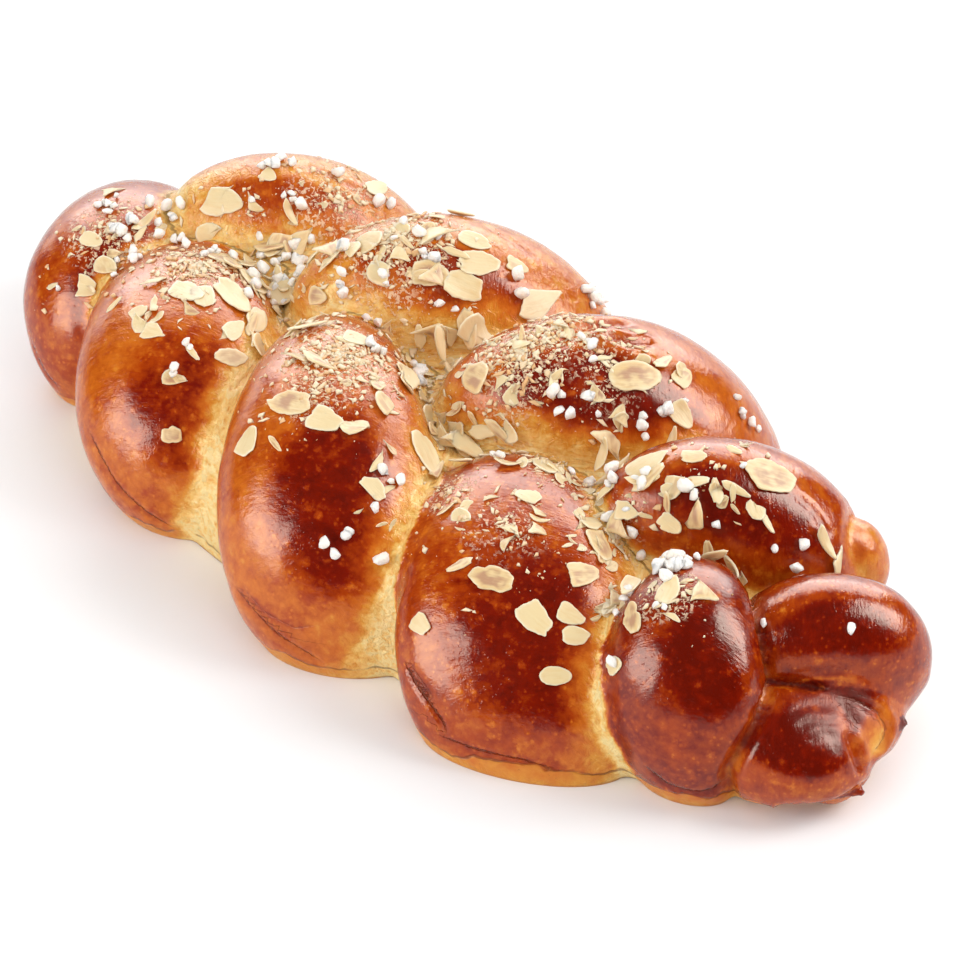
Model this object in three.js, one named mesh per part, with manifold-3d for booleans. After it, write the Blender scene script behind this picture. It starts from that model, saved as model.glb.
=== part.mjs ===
/**
 * Braided sweet loaf with flaked almonds, for a Christmas table.
 *
 * Units are millimetres and +Z is up. The loaf lies on its flat base at z = 0,
 * long side along X, and the origin is the middle of its box on the base.
 *
 * The dough is one baked piece. Each strand shows as a swollen lobe that rises
 * out of the middle of the braid, arches over and goes down to the base. The
 * lobes are joined into one solid with the crumb that fills the middle.
 * The larger almond flakes are separate solids that lie on the crust.
 */
import * as THREE from 'three';
import { mergeVertices } from 'three/addons/utils/BufferGeometryUtils.js';
import Module from 'manifold-3d';

const wasm = await Module();
wasm.setup();

// ---------------------------------------------------------------- dough sizes

const LOBE_RINGS = 16;          // rings along a lobe
const LOBE_SIDES = 20;          // points round a ring
const LOBE_FULLNESS = 2.6;      // 2 gives elliptical ends, more gives blunter ones
const CRUMB_FULLNESS = 2.4;
const START = -8;               // a strand starts this far behind its crossing
const RISE = 14;                // and has risen this far on
const BELLY = 8;                // the arch bulges this far past the foot
const LATE_TRAIL = 0.4;         // share of the trail that the outer shoulder has
const BASE_CUT = 60;            // depth of the block that cuts the base flat

/*
 * A lobe's spine lies over a straight line in plan that leaves the crossing `at`
 * under the angle `heading`, in degrees from +X, and is `reach` long. `trail`
 * drags its foot on towards +X. The spine starts at height `low`, is drawn up to
 * `top` times the two `pull` values, and ends at `foot`. `wide` and `thick` are
 * the half sizes across and through the strand at its two ends.
 */
const lobes = {
  front_1: {
    at: [-174, 17], heading: -80, reach: 46, trail: 10, low: 24, top: 40, foot: -7,
    wide: [26, 26], thick: [17, 22], pull: [1.1, 1.16],
  },
  front_2: {
    at: [-140, 4], heading: -58, reach: 57, trail: 30, low: 27, top: 44, foot: -6,
    wide: [24, 38], thick: [15, 26], pull: [1.06, 1.07],
  },
  front_3: {
    at: [-69, 1], heading: -56, reach: 60, trail: 34, low: 34, top: 52, foot: -12,
    wide: [17, 43], thick: [20, 26], pull: [1.07, 1.08],
  },
  front_4: {
    at: [8, 1], heading: -58, reach: 45, trail: 40, low: 40, top: 39, foot: -16,
    wide: [21, 45], thick: [15, 21], pull: [1.1, 1.06],
  },
  front_5: {
    at: [81, 4], heading: -69, reach: 21, trail: 12, low: 40, top: 41, foot: -8,
    wide: [15, 28], thick: [15, 18], pull: [1.15, 1.11],
  },
  back_1: {
    at: [-164, 34], heading: 82, reach: 20, trail: -2, low: 20, top: 30, foot: -22,
    wide: [20, 26], thick: [18, 24], pull: [1.1, 1.1],
  },
  back_2: {
    at: [-153, 14], heading: 46, reach: 62, trail: 2, low: 30, top: 50, foot: -30,
    wide: [17, 31], thick: [24, 27], pull: [1.12, 1.14],
  },
  back_3: {
    at: [-89, 16], heading: 55, reach: 68, trail: 12, low: 35, top: 55, foot: -32,
    wide: [18, 33], thick: [24, 28], pull: [1.11, 1.12],
  },
  back_4: {
    at: [-20, 14], heading: 52, reach: 70, trail: 7, low: 31, top: 55, foot: -32,
    wide: [18, 37], thick: [24, 28], pull: [1.14, 1.12],
  },
  back_5: {
    at: [44, 16], heading: 46, reach: 50, trail: 4, low: 32, top: 49, foot: -26,
    wide: [16, 27], thick: [22, 26], pull: [1.13, 1.12],
  },
  back_6: {
    at: [80, 48], heading: 48, reach: 10, trail: -1, low: 19, top: 38, foot: -6,
    wide: [10, 14], thick: [15, 12], pull: [1.09, 1.15],
  },
  end_loop: {
    at: [98, 9], heading: 50, reach: 31, trail: 2, low: 21, top: 40, foot: 8,
    wide: [16, 17], thick: [15, 21], pull: [1.06, 1.18],
  },
  end_curl: {
    at: [102, -5], heading: 28, reach: 26, trail: 0, low: 8, top: 18, foot: 2,
    wide: [20, 20], thick: [18, 18], pull: [1, 1.07],
  },
  curl_tip: {
    at: [118, 10], heading: 59, reach: 14, trail: 0, low: 12, top: 20, foot: 5,
    wide: [14, 14], thick: [15, 12], pull: [1.1, 1.08],
  },
};

// The crumb in the middle, a long low egg that bends towards +Y at the near end.
const crumb = {
  from: [-180, 6], to: [128, 18], height: 6, wide: [66, 55], thick: [42, 37],
};

// ---------------------------------------------------------------- almond sizes

const FLAKE_THICK = 1.0;
const FLAKE_POINTS = 12;        // points round a flake's outline
const FLAKE_WIDTH = 0.58;       // of its length
const FLAKE_TAPER = 0.2;        // how much narrower the tip half is
const GAP = 0.3;                // left between a flake and what it lies on
const LIFT_STEP = 0.25;
const LIFT_LIMIT = 12;
const FLAKE_FEELERS = 6;        // points felt under a flake to find how it lies
const RAY_TOP = 200;            // height from which the crust is looked for
const NO_VOLUME = 1e-6;         // an overlap below this is none

/*
 * Where the larger flakes lie, by the lobe that carries them. A row gives x, y, the
 * length, the angle of the long axis in plan, and the share left of a broken flake.
 */
const flakes = {
  front_1: [[-154, -32, 12, 25, 0.7], [-162, -22, 9, 15, 1]],
  front_2: [
    [-113, -23, 14, 20, 0.8], [-108, -20, 13, -25, 0.8], [-104, -12, 16, 0, 1],
    [-117, -39, 10, 80, 0.6], [-108, -40, 11, 25, 0.7], [-86, -27, 11, 65, 1],
    [-93, -21, 11, 100, 0.8], [-83, -53, 9, 25, 0.8], [-95, -10, 12, 125, 1],
    [-111, 1, 15, -5, 0.8], [-123, -2, 13, 30, 1],
  ],
  front_3: [
    [-41, -40, 15, 25, 1], [-30, -38, 14, 25, 0.8], [-44, -54, 12, 95, 0.8],
    [-50, -10, 12, 35, 0.7], [-35, -2, 14, -15, 0.8], [-7, -39, 10, 0, 0.9],
    [-10, -17, 15, 5, 1],
  ],
  front_4: [
    [40, -36, 14, 30, 1], [55, -18, 13, 60, 0.7], [56, -34, 14, 0, 1],
    [61, -27, 10, 20, 0.8], [66, -29, 9, 45, 0.9], [70, -12, 9, -70, 0.8],
    [29, -53, 10, -10, 0.8], [68, -38, 9, 45, 1], [27, -11, 10, 10, 0.8],
    [50, -5, 13, -15, 1], [18, 3, 12, -15, 0.8],
  ],
  front_5: [[81, -29, 9, 60, 0.8], [80, -21, 11, 125, 0.9], [84, -12, 11, 110, 0.9]],
  back_2: [[-139, 12, 16, 35, 1], [-134, 26, 9, 5, 0.6], [-115, 55, 12, 95, 1]],
  back_3: [
    [-86, 5, 11, 25, 0.6], [-60, 28, 14, 40, 0.8], [-51, 35, 15, 25, 0.9],
    [-59, 46, 11, 35, 1], [-53, 42, 14, 50, 0.9], [-38, 53, 17, 80, 1],
    [-48, 52, 9, 35, 0.8],
  ],
  back_4: [[19, 38, 16, 50, 1], [31, 44, 11, 0, 0.8], [25, 50, 10, 105, 0.8]],
  back_5: [
    [74, 37, 17, 40, 1], [47, 15, 16, 65, 0.8], [48, 6, 10, 30, 0.7],
    [61, 11, 9, -5, 0.8], [56, 24, 9, 35, 0.8],
  ],
};

// ---------------------------------------------------------------- shapes

const toRadians = THREE.MathUtils.degToRad;

/** The spine of a lobe as a cubic curve. */
function spineOf({ at, heading, reach, trail, low, top, foot, pull }) {
  const angle = toRadians(heading);
  const steps = [
    { along: START, height: low, drag: 0 },
    { along: START + RISE, height: top * pull[0], drag: 0 },
    { along: reach + BELLY, height: top * pull[1], drag: trail * LATE_TRAIL },
    { along: reach, height: foot, drag: trail },
  ];
  const points = steps.map(({ along, height, drag }) => new THREE.Vector3(
    at[0] + along * Math.cos(angle) + drag,
    at[1] + along * Math.sin(angle),
    height,
  ));
  return new THREE.CubicBezierCurve3(...points);
}

/**
 * A closed sausage: a unit sphere whose axis is bent along `spine` and whose
 * rings are widened along `side` and thickened square to it.
 */
function sausage(spine, side, wide, thick, fullness, sides = LOBE_SIDES, rings = LOBE_RINGS) {
  const geometry = new THREE.SphereGeometry(1, sides, rings);
  const place = geometry.getAttribute('position');
  const unit = new THREE.Vector3();
  for (let i = 0; i < place.count; i += 1) {
    unit.fromBufferAttribute(place, i);
    const share = THREE.MathUtils.clamp((1 - unit.y) / 2, 0, 1);
    const fromMiddle = Math.abs(2 * share - 1);
    const ring = Math.sqrt(Math.max(0, 1 - fromMiddle ** fullness));
    const across = Math.hypot(unit.x, unit.z) || 1;
    const centre = spine.getPoint(share);
    const tangent = spine.getTangent(share);
    const flat = side.clone().addScaledVector(tangent, -side.dot(tangent)).normalize();
    const up = tangent.clone().cross(flat);
    const halfWide = THREE.MathUtils.lerp(wide[0], wide[1], share) * ring;
    const halfThick = THREE.MathUtils.lerp(thick[0], thick[1], share) * ring;
    centre.addScaledVector(flat, halfWide * unit.x / across);
    centre.addScaledVector(up, halfThick * unit.z / across);
    place.setXYZ(i, centre.x, centre.y, centre.z);
  }
  return geometry;
}

/** One strand of the braid. */
function lobeShape(lobe) {
  const angle = toRadians(lobe.heading);
  const side = new THREE.Vector3(-Math.sin(angle), Math.cos(angle), 0);
  return sausage(spineOf(lobe), side, lobe.wide, lobe.thick, LOBE_FULLNESS);
}

/** The filling crumb between the strands. */
function crumbShape({ from, to, height, wide, thick }) {
  const third = (to[0] - from[0]) / 3;
  const spine = new THREE.CubicBezierCurve3(
    new THREE.Vector3(from[0], from[1], height),
    new THREE.Vector3(from[0] + third, from[1], height),
    new THREE.Vector3(from[0] + 2 * third, from[1], height),
    new THREE.Vector3(to[0], to[1], height),
  );
  return sausage(spine, new THREE.Vector3(0, 1, 0), wide, thick, CRUMB_FULLNESS);
}

/** An almond slice lying in the XY plane, middle at the origin, tip towards +X. */
function flakeShape(length, left, thickness) {
  const outline = new THREE.Shape();
  const points = [];
  for (let i = 0; i < FLAKE_POINTS; i += 1) {
    const turn = (i / FLAKE_POINTS) * 2 * Math.PI;
    const along = Math.max(Math.cos(turn), 1 - 2 * left);
    const across = Math.sin(turn) * (1 - FLAKE_TAPER * Math.cos(turn));
    points.push(new THREE.Vector2(along * length / 2, across * FLAKE_WIDTH * length / 2));
  }
  outline.setFromPoints(points);
  const geometry = new THREE.ExtrudeGeometry(outline, { depth: thickness, bevelEnabled: false });
  return geometry.translate(0, 0, -thickness / 2);
}

// ---------------------------------------------------------------- solids

/** A closed geometry as a solid that can be joined and cut. */
function toSolid(geometry) {
  const bare = geometry.clone();
  bare.deleteAttribute('normal');
  bare.deleteAttribute('uv');
  const merged = mergeVertices(bare, 1e-4);
  return new wasm.Manifold(new wasm.Mesh({
    numProp: 3,
    vertProperties: new Float32Array(merged.getAttribute('position').array),
    triVerts: new Uint32Array(merged.getIndex().array),
  }));
}

/** A solid as a geometry with flat faces. */
function toGeometry(solid) {
  const { vertProperties, triVerts } = solid.getMesh();
  const geometry = new THREE.BufferGeometry();
  geometry.setAttribute('position', new THREE.BufferAttribute(vertProperties, 3));
  geometry.setIndex(new THREE.BufferAttribute(triVerts, 1));
  geometry.computeVertexNormals();
  return geometry;
}

/** All strands and the crumb in one piece, cut flat at z = 0. */
function bakeLoaf() {
  let dough = toSolid(crumbShape(crumb));
  for (const lobe of Object.values(lobes)) {
    dough = dough.add(toSolid(lobeShape(lobe)));
  }
  const below = new THREE.BoxGeometry(1000, 1000, BASE_CUT).translate(0, 0, -BASE_CUT / 2);
  return dough.subtract(toSolid(below));
}

/** The highest point of the crust over x, y, and the way it faces there. */
function crustAt(x, y, crust) {
  const ray = new THREE.Raycaster(new THREE.Vector3(x, y, RAY_TOP), new THREE.Vector3(0, 0, -1));
  const [hit] = ray.intersectObject(crust);
  return { point: hit.point, normal: hit.face.normal };
}

/** The way a flake of the given size faces: the mean over the crust that it covers. */
function restingNormal(x, y, length, crust) {
  const normal = new THREE.Vector3();
  for (let i = 0; i < FLAKE_FEELERS; i += 1) {
    const turn = (i / FLAKE_FEELERS) * 2 * Math.PI;
    const reach = length / 3;
    normal.add(crustAt(x + reach * Math.cos(turn), y + reach * Math.sin(turn), crust).normal);
  }
  return normal.normalize();
}

/** Finds where a flake lies on the ground solid, clear of it by the gap. */
function layFlake([x, y, length, turn, left], ground, crust) {
  const up = restingNormal(x, y, length, crust);
  const along = new THREE.Vector3(Math.cos(toRadians(turn)), Math.sin(toRadians(turn)), 0);
  along.addScaledVector(up, -along.dot(up)).normalize();
  const place = new THREE.Matrix4().makeBasis(along, up.clone().cross(along), up);
  const padded = flakeShape(length + 2 * GAP, left, FLAKE_THICK + 2 * GAP);
  const { point } = crustAt(x, y, crust);
  for (let lift = FLAKE_THICK / 2; lift < LIFT_LIMIT; lift += LIFT_STEP) {
    place.setPosition(point.clone().addScaledVector(up, lift));
    const overlap = ground.intersect(toSolid(padded.clone().applyMatrix4(place)));
    if (overlap.volume() < NO_VOLUME) {
      return place;
    }
  }
  throw new Error(`no free place for the flake at ${x}, ${y}`);
}

// ---------------------------------------------------------------- the cake

const crustFinish = new THREE.MeshStandardMaterial({
  color: 0xa84a1c, roughness: 0.35, metalness: 0, name: 'crust',
});
const almondFinish = new THREE.MeshStandardMaterial({
  color: 0xeed9a6, roughness: 0.6, metalness: 0, name: 'almond',
});

const cake = new THREE.Group();

let ground = bakeLoaf();
const loaf = new THREE.Mesh(toGeometry(ground), crustFinish);
loaf.name = 'loaf';
cake.add(loaf);
loaf.updateMatrixWorld();

Object.values(flakes).flat().forEach((flake, index) => {
  const [, , length, , left] = flake;
  const place = layFlake(flake, ground, loaf);
  const mesh = new THREE.Mesh(flakeShape(length, left, FLAKE_THICK), almondFinish.clone());
  mesh.name = `almond_flake_${String(index + 1).padStart(2, '0')}`;
  mesh.applyMatrix4(place);
  cake.add(mesh);
  ground = ground.add(toSolid(mesh.geometry.clone().applyMatrix4(place)));
});

// The origin is the middle of the box, on the base.
const box = new THREE.Box3().setFromObject(cake, true);
cake.position.set(-(box.min.x + box.max.x) / 2, -(box.min.y + box.max.y) / 2, 0);
cake.updateMatrixWorld(true);

export default cake;
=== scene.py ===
"""Looks of a braided sweet loaf with flaked almonds, pearl sugar and crumbs.

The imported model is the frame: metres, +Z up, the loaf lying along X on its flat base. Sizes
here are in millimetres. Plans of the dough and its toppings are drawn in the maker's own plan,
with the middle crossing of the braid near its origin; `Loaf.shift` brings them to the frame.
"""

import logging
import math
from dataclasses import dataclass, field
from enum import Enum

import bmesh
import bpy
import numpy as np
from mathutils import Matrix, Vector, noise
from mathutils.bvhtree import BVHTree


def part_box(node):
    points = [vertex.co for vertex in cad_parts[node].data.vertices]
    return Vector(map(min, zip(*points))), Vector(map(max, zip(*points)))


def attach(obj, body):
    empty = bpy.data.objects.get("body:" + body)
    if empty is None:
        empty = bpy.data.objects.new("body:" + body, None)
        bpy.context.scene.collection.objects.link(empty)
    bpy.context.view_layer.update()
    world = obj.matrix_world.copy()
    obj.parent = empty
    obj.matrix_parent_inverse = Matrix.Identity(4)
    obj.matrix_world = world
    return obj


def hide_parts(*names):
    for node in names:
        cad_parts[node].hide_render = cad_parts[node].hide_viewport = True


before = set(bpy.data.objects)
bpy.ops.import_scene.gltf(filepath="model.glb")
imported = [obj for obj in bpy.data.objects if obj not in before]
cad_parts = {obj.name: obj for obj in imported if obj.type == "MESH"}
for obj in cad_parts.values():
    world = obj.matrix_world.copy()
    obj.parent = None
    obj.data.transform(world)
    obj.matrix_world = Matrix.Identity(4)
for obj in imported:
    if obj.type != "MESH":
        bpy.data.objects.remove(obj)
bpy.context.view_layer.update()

MM = 0.001
BODY = "root"
log = logging.getLogger("loaf")


class Slot(Enum):
    """The record's material slots."""

    CRUST = "crust"
    ALMOND = "almond"
    SUGAR = "sugar"
    CRUMBS = "crumbs"


# ------------------------------------------------------------------ node trees


class Sock:
    """A node's output, whose arithmetic adds Math or Vector Math nodes."""

    def __init__(self, tree: "Tree", socket: bpy.types.NodeSocket) -> None:
        """Keeps the socket and the tree that it is in."""
        self.tree = tree
        self.socket = socket

    @property
    def is_vector(self) -> bool:
        """Whether the socket carries three numbers."""
        return self.socket.type in {"VECTOR", "RGBA", "ROTATION"}

    def _pair(self, operation: str, first: object, second: object) -> "Sock":
        """Adds the node of one operation on two values.

        Args:
            operation: the node's operation.
            first: a socket, a number or three numbers.
            second: the same.

        Returns:
            The result's socket.
        """
        values = [first, second]
        if any(isinstance(one, Sock) and one.is_vector for one in values):
            values = [(one,) * 3 if isinstance(one, (int, float)) else one for one in values]
            return self.tree.add("ShaderNodeVectorMath", {"operation": operation},
                                 {0: values[0], 1: values[1]})
        return self.tree.add("ShaderNodeMath", {"operation": operation},
                             {0: values[0], 1: values[1]})

    def __add__(self, other: object) -> "Sock":
        """Sum."""
        return self._pair("ADD", self, other)

    __radd__ = __add__

    def __sub__(self, other: object) -> "Sock":
        """Difference."""
        return self._pair("SUBTRACT", self, other)

    def __rsub__(self, other: object) -> "Sock":
        """Difference from a number."""
        return self._pair("SUBTRACT", other, self)

    def __mul__(self, other: object) -> "Sock":
        """Product."""
        return self._pair("MULTIPLY", self, other)

    __rmul__ = __mul__

    def __truediv__(self, other: object) -> "Sock":
        """Quotient."""
        return self._pair("DIVIDE", self, other)

    def __pow__(self, other: object) -> "Sock":
        """Power."""
        return self._pair("POWER", self, other)

    def __gt__(self, other: object) -> "Sock":
        """One where the value is larger, else nought."""
        return self._pair("GREATER_THAN", self, other)

    def most(self, other: object) -> "Sock":
        """The larger of two values."""
        return self._pair("MAXIMUM", self, other)

    def least(self, other: object) -> "Sock":
        """The smaller of two values."""
        return self._pair("MINIMUM", self, other)

    def clip(self) -> "Sock":
        """The value held between nought and one."""
        return self.most(0.0).least(1.0)

    def rise(self, low: float, high: float) -> "Sock":
        """A smooth step from nought at `low` to one at `high`.

        Args:
            low: where the step starts.
            high: where it ends.

        Returns:
            The step's socket.
        """
        return self.tree.add(
            "ShaderNodeMapRange", {"interpolation_type": "SMOOTHSTEP"},
            {"Value": self, "From Min": low, "From Max": high, "To Min": 0.0, "To Max": 1.0})


class Tree:
    """A node tree that is written as expressions."""

    def __init__(self, tree: bpy.types.NodeTree) -> None:
        """Wraps a node tree."""
        self.tree = tree

    def add(self, kind: str, settings: dict | None = None, sockets: dict | None = None,
            output: int | str = 0) -> Sock:
        """Adds a node.

        Args:
            kind: the node's type.
            settings: its properties, set first; `stops` fills a ramp.
            sockets: values or links by socket name, identifier or number.
            output: the output's name, identifier or number.

        Returns:
            The output.
        """
        node = self.tree.nodes.new(kind)
        for name, value in (settings or {}).items():
            if name == "stops":
                self._fill_ramp(node.color_ramp, value)
            else:
                setattr(node, name, value)
        for name, value in (sockets or {}).items():
            self.feed(self._find(node.inputs, name), value)
        return Sock(self, self._find(node.outputs, output))

    @staticmethod
    def _find(sockets: object, name: int | str) -> bpy.types.NodeSocket:
        """A socket by number, identifier or name."""
        if isinstance(name, int):
            return sockets[name]
        for socket in sockets:
            if socket.identifier == name:
                return socket
        return sockets[name]

    @staticmethod
    def _fill_ramp(ramp: bpy.types.ColorRamp, stops: list) -> None:
        """Gives a ramp its (place, colour) stops."""
        while len(ramp.elements) < len(stops):
            ramp.elements.new(1.0)
        for element, (place, colour) in zip(ramp.elements, stops):
            element.position = place
            element.color = (*colour[:3], 1.0)

    def feed(self, socket: bpy.types.NodeSocket, value: object) -> None:
        """Links or sets an input."""
        if isinstance(value, Sock):
            self.tree.links.new(value.socket, socket)
            return
        if isinstance(value, (tuple, list)) and socket.type == "RGBA" and len(value) == 3:
            value = (*value, 1.0)
        socket.default_value = value

    def noise(self, size: float, detail: float = 2.0, roughness: float = 0.5,
              at: "Sock | None" = None, warp: float = 0.0) -> Sock:
        """Smooth noise around one half.

        Args:
            size: the size of its lumps in millimetres, or in `at`'s units.
            detail: how many finer layers it has.
            roughness: the strength of the finer layers.
            at: the coordinates; millimetres of the piece if left out.
            warp: how far it is distorted.

        Returns:
            A value.
        """
        return self.add("ShaderNodeTexNoise", {"noise_dimensions": "3D"}, {
            "Vector": self.mm if at is None else at, "Scale": 1.0 / size, "Detail": detail,
            "Roughness": roughness, "Distortion": warp}, 0)

    def cells(self, size: float, output: str = "Distance", at: "Sock | None" = None) -> Sock:
        """Distance from scattered points, or another output of the cells around them.

        Args:
            size: the mean distance between the points in millimetres.
            output: `Distance`, in cells, or `Color`, random for each cell.
            at: the coordinates; millimetres of the piece if left out.

        Returns:
            The value or colour.
        """
        return self.add("ShaderNodeTexVoronoi", {"feature": "F1"}, {
            "Vector": self.mm if at is None else at, "Scale": 1.0 / size}, output)

    @property
    def mm(self) -> Sock:
        """The piece's coordinates in millimetres."""
        raise NotImplementedError


class Paint(Tree):
    """A material written as expressions."""

    def __init__(self, name: str) -> None:
        """Starts an empty material."""
        self.material = bpy.data.materials.new(name)
        self.material.use_nodes = True
        super().__init__(self.material.node_tree)
        self.tree.nodes.clear()
        self._mm = self.add("ShaderNodeTexCoord", output="Object") * 1000.0

    @property
    def mm(self) -> Sock:
        """Object coordinates in millimetres."""
        return self._mm

    def height(self) -> Sock:
        """The height above the floor in millimetres."""
        return self.add("ShaderNodeSeparateXYZ", sockets={0: self.mm}, output="Z")

    def attribute(self, name: str, output: str = "Fac") -> Sock:
        """A value or vector kept on the mesh."""
        return self.add("ShaderNodeAttribute", {"attribute_name": name}, output=output)

    def mix(self, share: object, first: object, second: object) -> Sock:
        """A colour between two.

        Args:
            share: nought gives `first`, one gives `second`.
            first: a colour or socket.
            second: the same.

        Returns:
            The colour.
        """
        return self.add("ShaderNodeMix", {"data_type": "RGBA"}, {
            "Factor_Float": share, "A_Color": first, "B_Color": second}, "Result_Color")

    def ramp(self, share: Sock, stops: list) -> Sock:
        """A colour from a ramp of (place, colour) stops."""
        return self.add("ShaderNodeValToRGB", {"stops": stops}, {"Fac": share}, "Color")

    def bump(self, height: Sock, strength: float = 1.0) -> Sock:
        """The normal of a surface raised by a height in millimetres."""
        return self.add("ShaderNodeBump", sockets={
            "Height": height, "Distance": MM, "Strength": strength}, output="Normal")

    def finish(self, sockets: dict) -> bpy.types.Material:
        """Ends the material in a Principled shader.

        Args:
            sockets: its values and links.

        Returns:
            The material.
        """
        shader = self.add("ShaderNodeBsdfPrincipled", sockets=sockets, output="BSDF")
        self.add_output(shader)
        return self.material

    def add_output(self, shader: Sock) -> None:
        """Links a shader to the surface."""
        node = self.tree.nodes.new("ShaderNodeOutputMaterial")
        self.tree.links.new(shader.socket, node.inputs["Surface"])


class Shaper(Tree):
    """A Geometry Nodes tree written as expressions."""

    TYPES = {float: "NodeSocketFloat", int: "NodeSocketInt",
             bpy.types.Material: "NodeSocketMaterial", bpy.types.Collection: "NodeSocketCollection"}

    def __init__(self, name: str, **values: object) -> None:
        """Starts a tree with one named input for each value.

        Args:
            name: the tree's name.
            values: the inputs, by name with _ for a space.
        """
        super().__init__(bpy.data.node_groups.new(name, "GeometryNodeTree"))
        face = self.tree.interface
        face.new_socket("Geometry", in_out="INPUT", socket_type="NodeSocketGeometry")
        self.values = {}
        for key, value in values.items():
            kind = next(code for cls, code in self.TYPES.items() if isinstance(value, cls))
            socket = face.new_socket(key.replace("_", " "), in_out="INPUT", socket_type=kind)
            self.values[socket.identifier] = value
        face.new_socket("Geometry", in_out="OUTPUT", socket_type="NodeSocketGeometry")
        self.entry = self.tree.nodes.new("NodeGroupInput")
        self.geometry = Sock(self, self.entry.outputs["Geometry"])
        self._mm = self.add("GeometryNodeInputPosition") * 1000.0

    @property
    def mm(self) -> Sock:
        """The position in millimetres."""
        return self._mm

    def given(self, name: str) -> Sock:
        """A named input of the tree."""
        return Sock(self, self.entry.outputs[name])

    def scaled_noise(self, name: str, detail: float) -> Sock:
        """Noise around nought whose lumps have the size of the input `name`, in millimetres."""
        return self.noise(1.0, detail, 0.5, at=self.mm / self.given(name)) - 0.5

    def attribute(self, name: str, kind: str = "FLOAT") -> Sock:
        """A value or vector kept on the mesh."""
        return self.add("GeometryNodeInputNamedAttribute", {"data_type": kind}, {"Name": name})

    def random(self, low: object, high: object, seed: object, kind: str = "FLOAT") -> Sock:
        """A random value for each point.

        Args:
            low: the smallest value.
            high: the largest value.
            seed: the seed of the draw.
            kind: the type of the value.

        Returns:
            The value.
        """
        names = {"FLOAT": ("Min_001", "Max_001", "Value_001"),
                 "FLOAT_VECTOR": ("Min", "Max", "Value"),
                 "INT": ("Min_002", "Max_002", "Value_002")}[kind]
        return self.add("FunctionNodeRandomValue", {"data_type": kind},
                        {names[0]: low, names[1]: high, "Seed": seed}, names[2])

    def then(self, kind: str, settings: dict | None = None, sockets: dict | None = None) -> None:
        """Passes the geometry on through one more node.

        Args:
            kind: the node's type, whose first input takes the geometry.
            settings: its properties.
            sockets: its other inputs.
        """
        self.geometry = self.add(kind, settings, {0: self.geometry, **(sockets or {})})

    def run(self, obj: bpy.types.Object, name: str) -> bpy.types.Object:
        """Runs the tree on an object and keeps the result as a plain mesh.

        Args:
            obj: the object that the tree starts from; it is removed.
            name: the new object's name.

        Returns:
            The new object, at the origin.
        """
        end = self.tree.nodes.new("NodeGroupOutput")
        self.tree.links.new(self.geometry.socket, end.inputs[0])
        modifier = obj.modifiers.new(self.tree.name, "NODES")
        modifier.node_group = self.tree
        for identifier, value in self.values.items():
            modifier[identifier] = value
        return plain_copy(obj, name)


# ------------------------------------------------------------------ mesh helpers


def add_object(name: str, mesh: bpy.types.Mesh) -> bpy.types.Object:
    """Puts a mesh into the scene.

    Args:
        name: the object's name.
        mesh: its mesh.

    Returns:
        The object, at the origin.
    """
    obj = bpy.data.objects.new(name, mesh)
    bpy.context.scene.collection.objects.link(obj)
    return obj


def mesh_of(name: str, points: np.ndarray, faces: list) -> bpy.types.Mesh:
    """A mesh from points and faces.

    Args:
        name: the mesh's name.
        points: rows of x, y, z in metres.
        faces: rows of point numbers.

    Returns:
        The mesh.
    """
    mesh = bpy.data.meshes.new(name)
    mesh.from_pydata([tuple(map(float, point)) for point in points], [], faces)
    mesh.update()
    return mesh


def plain_copy(obj: bpy.types.Object, name: str) -> bpy.types.Object:
    """The object as its modifiers leave it, as a plain mesh.

    Args:
        obj: the object; it is removed.
        name: the new object's name.

    Returns:
        The new object.
    """
    graph = bpy.context.evaluated_depsgraph_get()
    mesh = bpy.data.meshes.new_from_object(obj.evaluated_get(graph), depsgraph=graph)
    obj.modifiers.clear()
    old = obj.data
    bpy.data.objects.remove(obj)
    if old.users == 0:
        bpy.data.meshes.remove(old)
    mesh.name = name
    return add_object(name, mesh)


def rows_of(entries: object, key: str) -> np.ndarray:
    """One vector for each entry of a mesh's data.

    Args:
        entries: the data, such as the mesh's points.
        key: the vector's name.

    Returns:
        Rows of three numbers.
    """
    flat = np.empty(len(entries) * 3, np.float32)
    entries.foreach_get(key, flat)
    return flat.reshape(-1, 3).astype(float)


def points_of(mesh: bpy.types.Mesh) -> np.ndarray:
    """The mesh's points as rows of x, y, z in metres."""
    return rows_of(mesh.vertices, "co")


def normals_of(mesh: bpy.types.Mesh) -> np.ndarray:
    """The normals at the mesh's points."""
    return rows_of(mesh.vertex_normals, "vector")


def joined(parts: list) -> tuple:
    """Several skins as one.

    Args:
        parts: the points and faces of each.

    Returns:
        All points and all faces.
    """
    points, faces, start = [], [], 0
    for own, own_faces in parts:
        points.append(own)
        faces += [tuple(number + start for number in face) for face in own_faces]
        start += len(own)
    return np.vstack(points), faces


def random_way(rng: np.random.Generator, size: int) -> np.ndarray:
    """A random direction in the plane or in space."""
    way = rng.normal(size=size)
    return way / np.linalg.norm(way)


def chipped(points: np.ndarray, way: np.ndarray, limit: float) -> np.ndarray:
    """The points, with those past `limit` along `way` pressed back to it."""
    over = np.clip(points @ way - limit, 0, None)
    return points - over[:, None] * way


def keep(mesh: bpy.types.Mesh, name: str, values: np.ndarray) -> None:
    """Keeps one value or vector for each point on the mesh.

    Args:
        mesh: the mesh.
        name: the attribute's name.
        values: one row for each point.
    """
    vector = values.ndim == 2
    attribute = mesh.attributes.new(name, "FLOAT_VECTOR" if vector else "FLOAT", "POINT")
    attribute.data.foreach_set("vector" if vector else "value",
                               np.ascontiguousarray(values, np.float32).ravel())


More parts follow.
